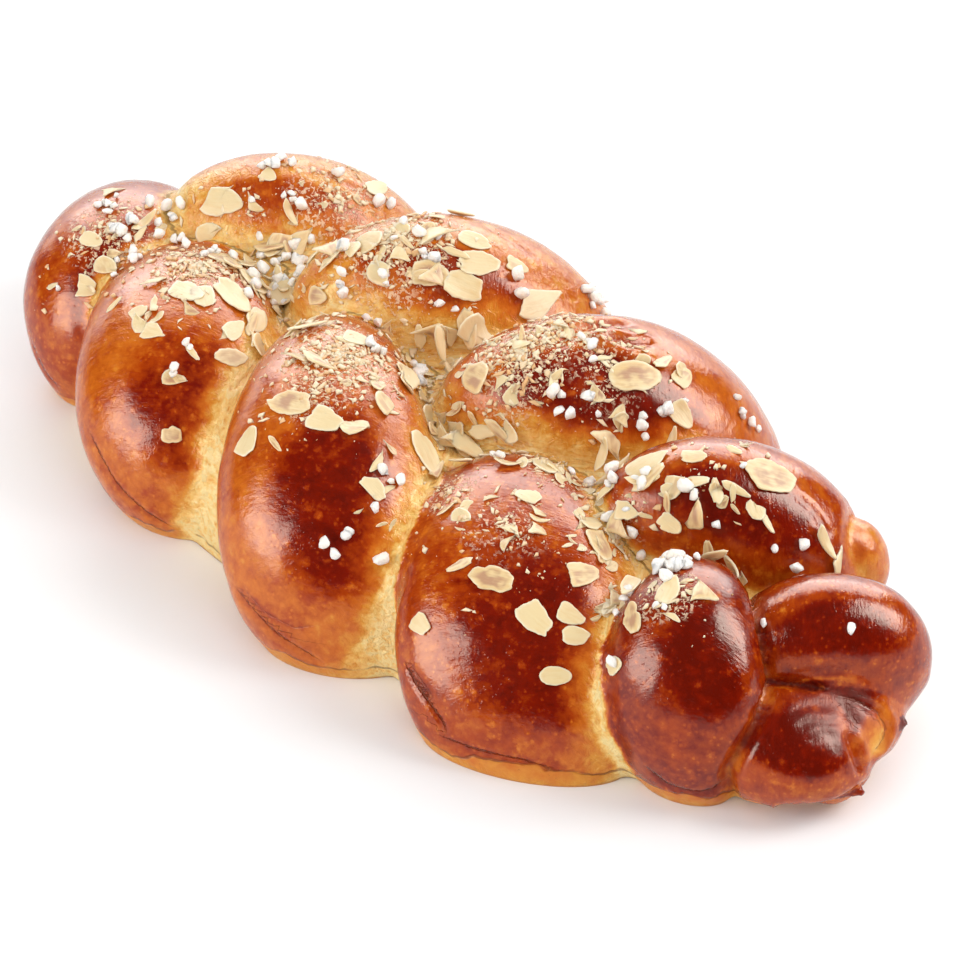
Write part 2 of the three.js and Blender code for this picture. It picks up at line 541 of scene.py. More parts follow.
def beside_path(points: np.ndarray, normals: np.ndarray, path: np.ndarray) -> tuple:
    """How far points of a skin are from a path along it, and on which side.

    Args:
        points: rows of x, y, z.
        normals: the directions that the skin faces there.
        path: the corners of the path.

    Returns:
        The distances along the skin, below nought on the left, and the shares of the path
        where it is nearest.
    """
    best = np.full(len(points), np.inf)
    side, share = np.ones(len(points)), np.zeros(len(points))
    lengths = np.linalg.norm(np.diff(path, axis=0), axis=1)
    passed = np.concatenate([[0], np.cumsum(lengths)]) / lengths.sum()
    for number, (start, end) in enumerate(zip(path[:-1], path[1:])):
        step = end - start
        at = np.clip((points - start) @ step / (step @ step), 0, 1)
        off = points - start - at[:, None] * step
        off -= normals * np.sum(off * normals, axis=1, keepdims=True)
        far = np.linalg.norm(off, axis=1)
        turned = np.sign(np.sum(np.cross(normals, step) * off, axis=1))
        closer = far < best
        best = np.where(closer, far, best)
        side = np.where(closer, turned, side)
        share = np.where(closer, passed[number] + at * (passed[number + 1] - passed[number]),
                         share)
    return best * np.where(side < 0, -1.0, 1.0), share


def smoothstep(values: np.ndarray, low: float, high: float) -> np.ndarray:
    """Nought below `low`, one above `high` and a smooth curve between."""
    share = np.clip((values - low) / (high - low), 0.0, 1.0)
    return share * share * (3.0 - 2.0 * share)


def wear(piece: bpy.types.Object, material: bpy.types.Material,
         nodes: list[str]) -> None:
    """Dresses a finished piece and hands it to the frame.

    Args:
        piece: the object.
        material: its material.
        nodes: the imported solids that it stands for.
    """
    piece.data.materials.clear()
    piece.data.materials.append(material)
    piece.data.shade_smooth()
    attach(piece, BODY)
    if nodes:
        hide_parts(*nodes)


# ------------------------------------------------------------------ finishes


@dataclass(frozen=True)
class CrustFinish:
    """Egg-washed crust, from cream crumb in the creases to mahogany on the crowns.

    Colours are linear, the first seven in order of how deeply they are baked; `dust` lies on
    the crust and `seared` fills its cracks. The gaps are the mean distances between blisters
    and pores in millimetres, and `skirt_height` is how far up the foot is pale.
    """

    cream: tuple = (0.890, 0.680, 0.300)
    straw: tuple = (0.860, 0.530, 0.150)
    golden: tuple = (0.700, 0.285, 0.034)
    amber: tuple = (0.575, 0.136, 0.010)
    chestnut: tuple = (0.375, 0.044, 0.002)
    mahogany: tuple = (0.190, 0.007, 0.0006)
    walnut: tuple = (0.120, 0.004, 0.0004)
    dust: tuple = (0.850, 0.620, 0.400)
    seared: tuple = (0.150, 0.022, 0.003)
    blister_gap: float = 3.8
    pore_gap: float = 1.5
    skirt_height: float = 4.8

    def material(self) -> bpy.types.Material:
        """Builds the material.

        Returns:
            The material.
        """
        paint = Paint("crust")
        # How dark the crust is: partly baked, partly painted shade facing the camera.
        bake = paint.attribute("bake")
        grain = paint.attribute("grain", "Vector")
        shred = paint.attribute("shred")
        folded = paint.attribute("fold")
        dusted = paint.attribute("dusted")
        dull = paint.attribute("dull")
        line = paint.attribute("line")
        split = paint.attribute("line_open")
        patches = paint.noise(15.0, 2.0, 0.5, warp=0.5)
        mottle = paint.noise(4.6, 5.0, 0.62, warp=0.25)
        fine = paint.noise(0.8, 3.0, 0.6)
        streaks = paint.noise(1.0, 3.0, 0.55, at=grain * (1.25, 0.28, 0.28), warp=0.4)
        foam = paint.cells(1.0, at=grain * (0.35, 0.8, 0.8))
        fibres = paint.noise(1.0, 3.0, 0.6, at=grain * (0.10, 0.62, 0.62), warp=0.5)
        spots = self.dots(paint, 2.6, 0.10, 0.46)
        skirt = paint.height() - self.skirt_height + (paint.noise(17.0, 3.0, 0.55) - 0.5) * -11.0
        strip = 1.0 - skirt.rise(-0.5, 0.5)
        rugged = paint.noise(3.0, 4.0, 0.68, warp=0.9)
        paleness = 1.0 - bake.rise(0.25, 0.75)
        level = (bake + (patches - 0.5) * 0.32 + (mottle - 0.5) * 0.60 + (streaks - 0.5) * 0.16
                 + (rugged - 0.48) * paleness * 0.60 - spots * 0.10 + folded * 0.25)
        ripe = level.rise(0.50, 0.75)
        big = self.dots(paint, self.blister_gap, -0.05, 0.50)
        small = self.dots(paint, self.blister_gap * 0.4, -0.05, 0.55)
        level = level - (big * 0.31).most(small * 0.25) * ripe
        level = level + (0.38 + (mottle - 0.5) * 0.4 - level) * strip * 0.75
        # Bare crumb high in the pits between strands turns golden: painted warm shade.
        crumb = (0.04 + (1.0 - foam.rise(0.05, 0.45)) * 0.07 + (mottle - 0.5) * 0.22
                 + (0.5 - fibres) * 0.85 + paint.height().rise(28.0, 44.0) * 0.13)
        level = level + (crumb - level) * (shred * 1.15).clip()
        colour = paint.ramp(level * 0.9, [
            (0.02, self.cream), (0.145, self.straw), (0.30, self.golden), (0.48, self.amber),
            (0.67, self.chestnut), (0.86, self.mahogany), (1.0, self.walnut)])
        pore = (1.0 - paint.cells(self.pore_gap).rise(0.05, 0.22)) * ripe
        colour = paint.mix(pore * 0.35, colour, self.mahogany)
        off = line + (fine - 0.5) * 0.9
        apart = off.most(0.0 - off) + (0.60 - patches.most(mottle)) * 1.2
        crack = (1.0 - apart.rise(0.05, 0.55)) * split
        ledge = (1.0 - skirt.most(0.0 - skirt).rise(0.1, 0.5)) * patches.rise(0.42, 0.55)
        crack = crack.most(ledge * 0.8)
        colour = paint.mix(crack * 0.75, colour, self.seared)
        flecks = paint.noise(1.3, 2.0, 0.6, warp=0.5)
        specks = flecks.rise(0.52, 0.60) * (dusted + (mottle - 0.5) * 0.9).rise(0.30, 0.75)
        colour = paint.mix(specks * 0.7, colour, self.dust)
        height = ((mottle - 0.5) * 0.09 + (rugged - 0.5) * paleness * 0.8 + (fine - 0.5) * 0.035
                  + big * 0.05 - pore * 0.04
                  + (streaks - 0.5) * 0.10 + specks * 0.15 - crack * 0.6
                  + (foam.rise(0.05, 0.7) * 0.12 + fibres * 0.9) * shred)
        return paint.finish({
            "Base Color": colour,
            "Roughness": (0.15 + (mottle - 0.5) * 0.14 + (fine - 0.5) * 0.08 + shred * 0.30
                          + specks * 0.3 + strip * 0.2 + dusted * 0.08 + dull * 0.30
                          - folded.least(0.0) * 0.3).clip(),
            "Specular IOR Level": 0.45,
            "Specular Tint": (0.98, 0.91, 0.78, 1.0),
            "Subsurface Weight": 0.05,
            "Subsurface Radius": (1.0, 0.4, 0.15),
            "Subsurface Scale": 0.003,
            "Normal": paint.bump(height),
        })

    @staticmethod
    def dots(paint: Paint, gap: float, core: float, rim: float) -> Sock:
        """Soft round spots, on half of the scattered points.

        Args:
            paint: the material.
            gap: the mean distance between the points in millimetres.
            core: where a spot starts to fade, as a share of the gap.
            rim: where it ends.

        Returns:
            One inside a spot, nought outside.
        """
        draw = paint.add("ShaderNodeSeparateColor", sockets={
            "Color": paint.cells(gap, "Color")}, output="Red")
        ragged = (paint.noise(gap * 0.3, 2.0, 0.6) - 0.5) * 0.7
        return (1.0 - (paint.cells(gap) + ragged).rise(core, rim)) * draw.rise(0.4, 1.0)


@dataclass(frozen=True)
class AlmondFinish:
    """Blanched almond slices, some toasted in the middle with a pale rim."""

    pale: tuple = (0.800, 0.610, 0.330)
    rim: tuple = (0.850, 0.720, 0.480)
    honey: tuple = (0.720, 0.450, 0.165)
    toasted: tuple = (0.420, 0.190, 0.110)

    def material(self) -> bpy.types.Material:
        """Builds the material.

        Returns:
            The material.
        """
        paint = Paint("almond")
        out = paint.attribute("rim")
        tone = paint.attribute("tone")
        where = paint.attribute("slice", "Vector")
        lines = paint.noise(1.0, 3.0, 0.55, at=where * (0.16, 0.9, 1.0))
        cloud = paint.noise(5.0, 2.0, 0.5, at=where)
        fine = paint.noise(1.2, 2.0, 0.5)
        inner = 1.0 - (out + (cloud - 0.5) * 0.9).rise(0.60, 0.90)
        browned = inner * tone.rise(0.42, 0.75) * (cloud + (lines - 0.5) * 0.4).rise(0.36, 0.62)
        colour = paint.mix(out.rise(0.78, 0.99), self.pale, self.rim)
        colour = paint.mix(((lines - 0.46) * 1.3 + (cloud - 0.5) * 0.8
                            + (tone - 0.3) * 0.5).clip(), colour, self.honey)
        colour = paint.mix(browned * 0.75, colour, self.toasted)
        height = (lines - 0.5) * 0.14 + (cloud - 0.5) * 0.2 + (fine - 0.5) * 0.05
        return paint.finish({
            "Base Color": colour,
            "Roughness": 0.48,
            "Subsurface Weight": 0.4,
            "Subsurface Radius": (1.0, 0.9, 0.8),
            "Subsurface Scale": 0.0015,
            "Normal": paint.bump(height),
        })


@dataclass(frozen=True)
class SugarFinish:
    """Pressed white sugar, matt with a fine grain."""

    white: tuple = (0.920, 0.880, 0.815)
    warm: tuple = (0.870, 0.785, 0.670)
    grain: float = 0.7

    def material(self) -> bpy.types.Material:
        """Builds the material.

        Returns:
            The material.
        """
        paint = Paint("pearl_sugar")
        grain = paint.noise(self.grain, 2.0, 0.6)
        colour = paint.mix((paint.attribute("tone") * 0.6).clip(), self.white, self.warm)
        return paint.finish({
            "Base Color": colour,
            "Roughness": 0.55,
            "Subsurface Weight": 0.7,
            "Subsurface Radius": (1.0, 0.9, 0.8),
            "Subsurface Scale": 0.002,
            "Normal": paint.bump((grain - 0.5) * 0.35),
        })


@dataclass(frozen=True)
class CrumbFinish:
    """Fine bits of almond and dry dough, pale to golden."""

    pale: tuple = (0.870, 0.700, 0.460)
    golden: tuple = (0.760, 0.430, 0.180)

    def material(self) -> bpy.types.Material:
        """Builds the material.

        Returns:
            The material.
        """
        paint = Paint("crumbs")
        tone = paint.attribute("tone")
        return paint.finish({
            "Base Color": paint.mix(tone.rise(0.45, 1.0), self.pale, self.golden),
            "Roughness": 0.65,
            "Subsurface Weight": 0.2,
            "Subsurface Radius": (1.0, 0.7, 0.4),
            "Subsurface Scale": 0.001,
        })


# ------------------------------------------------------------------ the dough

START = -8          # a strand starts this far behind its crossing, in millimetres
RISE = 14           # and has risen this far on
BELLY = 8           # its arch bulges this far past the foot
LATE_TRAIL = 0.4    # share of the trail that the outer shoulder has


@dataclass(frozen=True)
class Strand:
    """One swollen lobe of the braid, with its sizes as the solid has them.

    It starts at `at`, runs under the angle `heading` for `reach`, and its foot trails on
    towards +X. `tan` is how dark its crown is and `flank` its lower side, partly baked and
    partly painted shade. The crust pales within `fade` of a crease, before and behind, and
    is torn within `torn` of it low down behind. One with some `tight`, up to one, closes
    against its neighbours without tearing, in a groove of that share of the full depth.
    """

    at: tuple
    heading: float
    reach: float
    trail: float
    low: float
    top: float
    foot: float
    wide: tuple
    thick: tuple
    pull: tuple
    tan: float = 1.0
    flank: float = 0.6
    fade: tuple = (4, 6)
    torn: float = 2.0
    tight: float = 0.0
    fullness: float = 2.6

    def controls(self) -> np.ndarray:
        """The four control points of the spine.

        Returns:
            Rows of x, y, z in millimetres.
        """
        angle = math.radians(self.heading)
        steps = [(START, self.low, 0), (START + RISE, self.top * self.pull[0], 0),
                 (self.reach + BELLY, self.top * self.pull[1], self.trail * LATE_TRAIL),
                 (self.reach, self.foot, self.trail)]
        return np.array([[self.at[0] + along * math.cos(angle) + drag,
                          self.at[1] + along * math.sin(angle), height]
                         for along, height, drag in steps])

    def side(self) -> np.ndarray:
        """The level direction across the strand."""
        angle = math.radians(self.heading)
        return np.array([-math.sin(angle), math.cos(angle), 0.0])

    def axes(self, share: np.ndarray) -> tuple:
        """The spine and the directions square to it.

        Args:
            share: places along the spine from nought to one.

        Returns:
            Points, directions across and directions up, a row for each place.
        """
        p = self.controls()
        t = share[:, None]
        points = ((1 - t) ** 3 * p[0] + 3 * (1 - t) ** 2 * t * p[1]
                  + 3 * (1 - t) * t ** 2 * p[2] + t ** 3 * p[3])
        tangent = (3 * (1 - t) ** 2 * (p[1] - p[0]) + 6 * (1 - t) * t * (p[2] - p[1])
                   + 3 * t ** 2 * (p[3] - p[2]))
        tangent /= np.linalg.norm(tangent, axis=1, keepdims=True)
        side = self.side()
        across = side - tangent * (tangent @ side)[:, None]
        across /= np.linalg.norm(across, axis=1, keepdims=True)
        return points, across, np.cross(tangent, across)

    def shell(self, rings: int = 72, sides: int = 56) -> tuple:
        """The closed skin of the strand.

        Args:
            rings: rings along it.
            sides: points round a ring.

        Returns:
            Points in millimetres and faces.
        """
        share = (1 - np.cos(np.linspace(0, np.pi, rings + 1))) / 2
        ring = np.sqrt(np.clip(1 - np.abs(2 * share - 1) ** self.fullness, 0, None))
        spine, across, up = self.axes(share)
        turn = np.linspace(0, 2 * np.pi, sides, endpoint=False)
        half_wide = (self.wide[0] + (self.wide[1] - self.wide[0]) * share) * ring
        half_thick = (self.thick[0] + (self.thick[1] - self.thick[0]) * share) * ring
        skin = (spine[1:-1, None]
                + across[1:-1, None] * (half_wide[1:-1, None] * np.cos(turn))[..., None]
                + up[1:-1, None] * (half_thick[1:-1, None] * np.sin(turn))[..., None])
        points = np.vstack([skin.reshape(-1, 3), spine[:1], spine[-1:]])
        count = rings - 1
        faces = [(i * sides + j, i * sides + (j + 1) % sides,
                  (i + 1) * sides + (j + 1) % sides, (i + 1) * sides + j)
                 for i in range(count - 1) for j in range(sides)]
        start, end = count * sides, count * sides + 1
        last = (count - 1) * sides
        faces += [(start, (j + 1) % sides, j) for j in range(sides)]
        faces += [(end, last + j, last + (j + 1) % sides) for j in range(sides)]
        return points, faces


@dataclass(frozen=True)
class Crumb(Strand):
    """The low filling between the strands; `end` is where it stops."""

    end: tuple = (0, 0)

    def controls(self) -> np.ndarray:
        """The four control points of the spine, straight at first and then bent."""
        step = (self.end[0] - self.at[0]) / 3
        return np.array([[*self.at, self.low], [self.at[0] + step, self.at[1], self.low],
                         [self.at[0] + 2 * step, self.at[1], self.low], [*self.end, self.low]])

    def side(self) -> np.ndarray:
        """Across the loaf."""
        return np.array([0.0, 1.0, 0.0])


@dataclass(frozen=True)
class Fold:
    """A wrinkle in the skin: a groove along a path, with the skin heaped beside it.

    Where it is `split`, up to one, a dark line shows that the skin has opened. `tint` tells
    how much more it is baked than the skin around, or less if negative.
    """

    path: tuple
    depth: float
    width: float
    split: float = 0.0
    tint: float = 0.5


def strands(sizes: dict) -> dict:
    """Strands by name, from their sizes in the order of the fields."""
    return {name: Strand(*row) for name, row in sizes.items()}


STRANDS = strands({
    "front_1": ((-174, 17), -80, 46, 10, 24, 40, -7, (26, 26), (17, 22), (1.1, 1.16),
                1.00, 0.72, (3, 8), 4),
    "front_2": ((-140, 4), -58, 57, 30, 27, 44, -6, (24, 38), (15, 26), (1.06, 1.07),
                0.90, 0.68, (3, 9), 3),
    "front_3": ((-69, 1), -56, 60, 34, 34, 52, -12, (17, 43), (20, 26), (1.07, 1.08),
                1.03, 0.60, (3, 17), 11),
    "front_4": ((8, 1), -58, 45, 40, 40, 39, -16, (21, 45), (15, 21), (1.1, 1.06),
                1.03, 0.70, (2.5, 12), 3.5),
    "front_5": ((81, 4), -69, 21, 12, 40, 41, -8, (15, 28), (15, 18), (1.15, 1.11),
                1.12, 0.80, (3, 3), 1),
    "back_1": ((-164, 34), 82, 20, -2, 20, 30, -22, (20, 26), (18, 24), (1.1, 1.1),
               0.62, 0.50, (10, 8), 2),
    "back_2": ((-153, 14), 46, 62, 2, 30, 50, -30, (17, 31), (24, 27), (1.12, 1.14),
               0.76, 0.52, (20, 6), 4),
    "back_3": ((-89, 16), 55, 68, 12, 35, 55, -32, (18, 33), (24, 28), (1.11, 1.12),
               0.84, 0.56, (24, 6), 6),
    "back_4": ((-20, 14), 52, 70, 7, 31, 55, -32, (18, 37), (24, 28), (1.14, 1.12),
               1.04, 0.60, (18, 6), 6),
    "back_5": ((44, 16), 46, 50, 4, 32, 49, -26, (16, 27), (22, 26), (1.13, 1.12),
               1.04, 0.70, (7, 5), 2),
    "back_6": ((80, 48), 48, 10, -1, 19, 38, -6, (10, 14), (15, 12), (1.09, 1.15),
               0.82, 0.64, (4, 4), 1, 0.6),
    "end_loop": ((98, 9), 50, 31, 2, 21, 40, 8, (16, 17), (15, 21), (1.06, 1.18),
                 1.10, 0.74, (4, 4), 1, 1.0),
    "end_curl": ((102, -5), 28, 26, 0, 8, 18, 2, (20, 20), (18, 18), (1.0, 1.07),
                 1.10, 0.68, (4, 4), 1, 1.0),
    "curl_tip": ((118, 10), 59, 14, 0, 12, 20, 5, (14, 14), (15, 12), (1.1, 1.08),
                 1.05, 0.66, (4, 4), 1, 0.15),
    "drip_1": ((136, 1), 62, 6, 0, 7, 9, 7, (3, 2.2), (2.5, 2), (1, 1),
               1.1, 1.0, (2, 2), 0.5, 0.6),
    "drip_2": ((131, 26), 20, 4, 0, 18, 20, 20, (2.5, 1.5), (2.5, 1.5), (1, 1),
               1.25, 1.2, (2, 2), 0.5, 0.6),
})
WEBS = strands({
    "web_1": ((-162, 8), -62, 46, 12, 22, 33, -8, (9, 10), (11, 13), (1, 1)),
    "web_2": ((-110, 2), -57, 54, 30, 26, 41, -10, (8, 14), (12, 16), (1, 1)),
    "web_3": ((-36, 1), -57, 48, 34, 32, 37, -14, (8, 14), (11, 16), (1, 1)),
    "web_4": ((44, 2), -62, 30, 22, 32, 30, -12, (7, 10), (10, 12), (1, 1)),
    "web_5": ((-122, 18), 50, 60, 6, 28, 38, -30, (9, 10), (12, 14), (1, 1)),
    "web_6": ((-56, 16), 53, 62, 8, 30, 40, -30, (9, 10), (12, 14), (1, 1)),
    "web_7": ((10, 16), 50, 55, 5, 30, 38, -26, (9, 10), (12, 13), (1, 1)),
    "web_8": ((-126, 14), 10, 24, 0, 37, 45, 37, (10, 10), (9, 9), (1, 1)),
})
FOLDS = tuple(Fold(*row) for row in (
    (((-1, 24, 73), (-2, 34, 75), (0, 44, 74), (4, 54, 71)), 1.6, 1.6),
    (((-2, 36, 75), (8, 34, 73), (15, 38, 71), (20, 46, 67)), 1.8, 1.5),
    (((4, 40, 74), (10, 44, 72), (14, 52, 70)), 1.2, 1.3),
    (((-12, -56, 47), (-6, -54, 44), (-2, -52, 42)), 0.25, 0.5),
    (((-31, -72, 22), (-27, -73, 20), (-21, -72, 17), (-14, -71, 13), (-6, -68, 9),
      (0, -64, 6)), 0.9, 0.6, 0.8),
    (((-27, -73, 24), (-17, -72, 19), (-8, -68, 17), (-1, -63, 20)), 0.3, 0.6, 0.3),
    (((28, -59, 24), (30, -60, 22), (34, -60, 20), (42, -61, 16), (46, -60, 13),
      (49, -60, 9)), 1.1, 0.6, 1.0),
    (((30, -60, 25), (36, -60, 22), (43, -60, 18)), 0.4, 0.5, 0.4),
    (((43, -61, 8), (58, -57, 8), (69, -51, 8), (78, -43, 5)), 0.7, 0.6, 0.8),
    (((96, -31, 14), (102, -28, 9), (110, -23, 8), (116, -18, 11)), 0.6, 0.6, 0.7),
    (((-110, -65, 30), (-101, -66, 23), (-93, -66, 16), (-84, -62, 10), (-77, -57, 5)),
     0.8, 0.6, 0.8),
    (((-168, -44, 20), (-162, -44, 12), (-156, -43, 7)), 0.6, 0.6, 0.6),
    (((27, -47, 42), (31, -43, 45), (38, -38, 46)), 0.25, 0.5),
    (((122, -4, 32), (123, 2, 32), (125, 6, 32), (128, 9, 31)), 0.35, 0.8),
    (((126, -5, 30), (127, 0, 31), (130, 4, 30), (132, 9, 29)), 0.35, 0.8),
    (((130, -4, 27), (131, 1, 29), (134, 4, 27)), 0.3, 0.8),
    (((118, -4, 32), (125, 5, 32), (131, 11, 30)), 0.0, 6.0, 0.0, 0.9),
    (((125, 12, 32), (130, 16, 31), (134, 20, 27), (136, 21, 22), (137, 18, 18),
      (138, 12, 16)), 1.3, 1.2, 0.5),
    (((133, 14, 28), (137, 17, 23), (139, 14, 15)), -0.3, 4.5, 0.0, -1.7),
    (((134, 8, 28), (136.5, 7.5, 24), (138.5, 7.5, 20), (139.5, 8, 15)), 1.6, 1.5, 0.0, 0.3),
    (((131, 4, 30), (135, 3, 25), (138, 3, 17)), 0.1, 1.6, 0.0, 0.8),
    (((126, 14, 33), (131, 11, 30), (134, 11, 28), (136, 12, 25)), 0.3, 1.3, 0.2, 1.2),
    (((112, 0, 33), (114, 6, 33), (120, 9, 36), (126, 15, 36), (131, 20, 33)), -0.3, 1.2, 0.0,
     -0.7),
    (((93, -12, 55), (97, -19, 51), (102, -21, 45)), 0.2, 0.5),
    (((80, 40, 61), (86, 43, 56), (92, 45, 48)), 0.5, 0.9),
    (((-65, 54, 72), (-56, 58, 69), (-47, 61, 64)), 0.5, 0.8),
    (((-131, 37, 70), (-120, 44, 66), (-110, 49, 60)), 0.5, 0.8),
))
FILLING = Crumb((-180, 6), 0, 0, 0, 6, 0, 0, (66, 55), (42, 37), (1, 1), fullness=2.4,
                end=(128, 18))


@dataclass
class Loaf:
    """The baked dough in one skin.

    Sizes are in millimetres: `voxel` is the mesh's step, `reach` how far a crease is felt,
    and `soften` how often the creases are rounded. `lump` and `pucker` are the sizes of the
    swellings in the skin, and `shred_height` is how far torn crumb stands up. `groove` is the
    depth of a tight crease and `groove_reach` its half width. A wrinkle is felt within
    `fold_reach` of its middle and fades out over the share `fold_ends` at each end. The crust
    is darkest where it faces `dark_facing`, a way close to the camera's view: this is partly
    how it browned and partly painted shade. `dark_facing_range` holds the cosines where that
    begins and is full. It is matt around `dull`, fading out between the two distances in
    `dull_reach`.
    Beyond `far_end` the bare filling has one grain.
    """

    voxel: float = 1.225
    reach: float = 22.0
    soften: int = 29
    lump: float = 24.0
    lump_height: float = 1.3
    pucker: float = 7.0
    pucker_height: float = 0.7
    shred_height: float = 1.6
    groove: float = 4.0
    groove_reach: float = 3.2
    dark_facing: tuple = (0.55, -0.45, 0.70)
    dark_facing_range: tuple = (0.84, 0.955)
    dull: tuple = (127, 8, 31)
    dull_reach: tuple = (5, 15)
    fold_reach: float = 42.0
    fold_ends: float = 0.18
    far_end: float = -150.0
    shift: np.ndarray = field(default_factory=lambda: np.zeros(3))
    piece: bpy.types.Object | None = None
    tree: BVHTree | None = None

    def shells(self) -> dict:
        """The skins of all strands, webs and the filling, in millimetres."""
        made = {name: strand.shell() for name, strand in (STRANDS | WEBS).items()}
        made["filling"] = FILLING.shell()
        return made

    def rough(self, shells: dict) -> bpy.types.Object:
        """Joins the skins into one and cuts it flat at the floor.

        Args:
            shells: points and faces by strand.

        Returns:
            The object, in the frame.
        """
        cloud, faces = joined(shells.values())
        # The drips of caramel aren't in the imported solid, so they don't move the middle.
        dough = np.vstack([own for name, (own, _) in shells.items() if "drip" not in name])
        above = dough[dough[:, 2] >= 0]
        low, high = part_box("loaf")
        middle = (above.min(0) + above.max(0)) / 2
        self.shift = np.array([(low.x + high.x) / 2 / MM - middle[0],
                               (low.y + high.y) / 2 / MM - middle[1], 0.0])
        obj = add_object("dough", mesh_of("dough", (cloud + self.shift) * MM, faces))
        modifier = obj.modifiers.new("one_skin", "REMESH")
        modifier.mode = "VOXEL"
        modifier.voxel_size = self.voxel * MM
        obj = plain_copy(obj, "dough")
        shape = bmesh.new()
        shape.from_mesh(obj.data)
        bmesh.ops.bisect_plane(shape, geom=shape.verts[:] + shape.edges[:] + shape.faces[:],
                               plane_co=(0, 0, 0), plane_no=(0, 0, 1), clear_inner=True)
        rims = [edge for edge in shape.edges if edge.is_boundary]
        bmesh.ops.holes_fill(shape, edges=rims, sides=0)
        base = [face for face in shape.faces if len(face.verts) > 4]
        bmesh.ops.triangulate(shape, faces=base)
        bmesh.ops.recalc_face_normals(shape, faces=shape.faces)
        shape.to_mesh(obj.data)
        shape.free()
        return obj

    @staticmethod
    def each(key: str) -> np.ndarray:
        """One size of all strands, in their order."""
        return np.array([getattr(strand, key) for strand in STRANDS.values()], float)

    def read(self, obj: bpy.types.Object, shells: dict) -> None:
        """Keeps on the mesh how near each point is to a crease and how dark its crust is, partly
        baked and partly painted shade.

        Args:
            obj: the loaf's object.
            shells: points and faces by strand.
        """
        mesh = obj.data
        points = points_of(mesh) / MM - self.shift
        normals = normals_of(mesh)
        gap = self.gaps(points, shells)
        count = len(STRANDS)
        strands, pale = gap[:, :count], gap[:, count:].min(1)
        owner, next_one = np.argsort(strands, axis=1)[:, :2].T
        own, other = np.sort(strands, axis=1)[:, :2].T
        tight = self.each("tight")
        seam = other - own
        firm = np.where(tight > 0, tight, 1.0)
        closed = (tight[owner] > 0) | (tight[next_one] > 0)
        firm = firm[owner] * firm[next_one]
        torn = np.where(pale < own - 0.4, 0.0, pale - own)
        away = np.minimum(np.where(closed, seam * 3.0 + 5.0, seam), torn)
        away = np.where(points[:, 2] < 0.01, self.reach, away)
        tan, flank = self.each("tan")[owner], self.each("flank")[owner]
        rows = np.array([noise.noise(Vector(point) / 8.0) + 0.5 * noise.noise(
            Vector(point) / 3.0) for point in points])
        wander = away + 2.4 * rows
        lee = smoothstep(normals[:, 0], -0.25, 0.55)
        # Darker facing near the camera's view: partly browning, partly painted shade.
        dark_facing = np.array(self.dark_facing) / np.linalg.norm(self.dark_facing)
        crown = flank + (1 - flank) * smoothstep(normals @ dark_facing, *self.dark_facing_range)
        foot = 0.4 + 0.6 * smoothstep(points[:, 2] + 1.5 * rows, 0.3, 4.5)
        fade = self.each("fade")[owner]
        leaning = self.each("heading")[owner] > 0
        rear = leaning & ((own < pale) | (points[:, 0] > self.far_end))
        behind = np.where(rear, smoothstep(normals[:, 1], -0.4, 0.3), lee)
        gone = smoothstep(wander / (fade[:, 0] + (fade[:, 1] - fade[:, 0]) * behind), 0.0, 1.0)
        torn_width = self.each("torn")[owner]
        low_down = 1 - smoothstep(points[:, 2], 10.0, 46.0)
        width = 2.0 + torn_width * behind * low_down
        width = np.where(rear, 2.0 + torn_width * (1 - behind), width)
        bare = (1.0 - smoothstep(wander, 0.0, width)) * np.where(closed, 0.0, 1.0)
        near = np.minimum(seam, np.maximum(torn, 0.0))
        kept_sharp = closed & (seam < torn) & (firm > 0.5)
        soft = (1.0 - smoothstep(near, 2.0, 10.0)) * np.where(kept_sharp, 0.12, 1.0)
        self.press(mesh, points, normals,
                   np.where(closed, firm * np.clip(1 - seam / self.groove_reach, 0, 1), 0.0))
        keep(mesh, "soft", soft)
        keep(mesh, "bake", 0.05 + 0.93 * tan * crown * foot * (0.16 + 0.84 * gone))
        keep(mesh, "shred", bare)
        keep(mesh, "grain", self.grain(points, rear))
        keep(mesh, "dusted", self.dusted(points))
        off_dull = np.linalg.norm(points - self.dull, axis=1)
        keep(mesh, "dull", 1 - smoothstep(off_dull, *self.dull_reach))

    def press(self, mesh: bpy.types.Mesh, points: np.ndarray, normals: np.ndarray,
              closed: np.ndarray) -> None:
        """Keeps on the mesh how far wrinkles and tight creases press it in.

        Args:
            mesh: the loaf's mesh.
            points: rows of x, y, z in millimetres.
            normals: the directions that the skin faces.
            closed: how near each point is to a tight crease, from nought to one.
        """
        pressed = self.groove * closed ** 1.5
        shade = -0.8 * closed
        line = np.full(len(points), 9.0)
        open_wide = np.zeros(len(points))
        for fold in FOLDS:
            path = np.array(fold.path, float)
            near = np.flatnonzero(np.linalg.norm(points - path.mean(0), axis=1)
                                  < self.fold_reach)
            offset, along = beside_path(points[near], normals[near], path)
            far = np.abs(offset)
            ends = (smoothstep(along, 0.0, self.fold_ends)
                    * smoothstep(1 - along, 0.0, self.fold_ends))
            deep = np.exp(-(far / max(fold.width, 1.2)) ** 2) * ends
            lip = np.exp(-((offset - 2.4 * fold.width) / fold.width) ** 2) * ends
            pressed[near] += fold.depth * (deep - 0.45 * lip)
            tone = fold.tint * deep
            shade[near] = np.where(np.abs(tone) > np.abs(shade[near]), tone, shade[near])
            closer = far < np.abs(line[near])
            line[near] = np.where(closer, offset, line[near])
            open_wide[near] = np.where(closer, ends * fold.split, open_wide[near])
        keep(mesh, "press", pressed)
        keep(mesh, "fold", shade)
        keep(mesh, "line", line)
        keep(mesh, "line_open", open_wide)

    @staticmethod
    def dusted(points: np.ndarray) -> np.ndarray:
        """How thickly fine dust from the toppings lies, from nought to one."""
        total = np.zeros(len(points))
        for patch in CRUMBS:
            out = np.hypot(points[:, 0] - patch.x, points[:, 1] - patch.y)
            thick = min(1.0, patch.count / patch.spread ** 2)
            total = np.maximum(total, thick * (1 - smoothstep(out, 0.3 * patch.spread,
                                                              1.25 * patch.spread)))
        return total

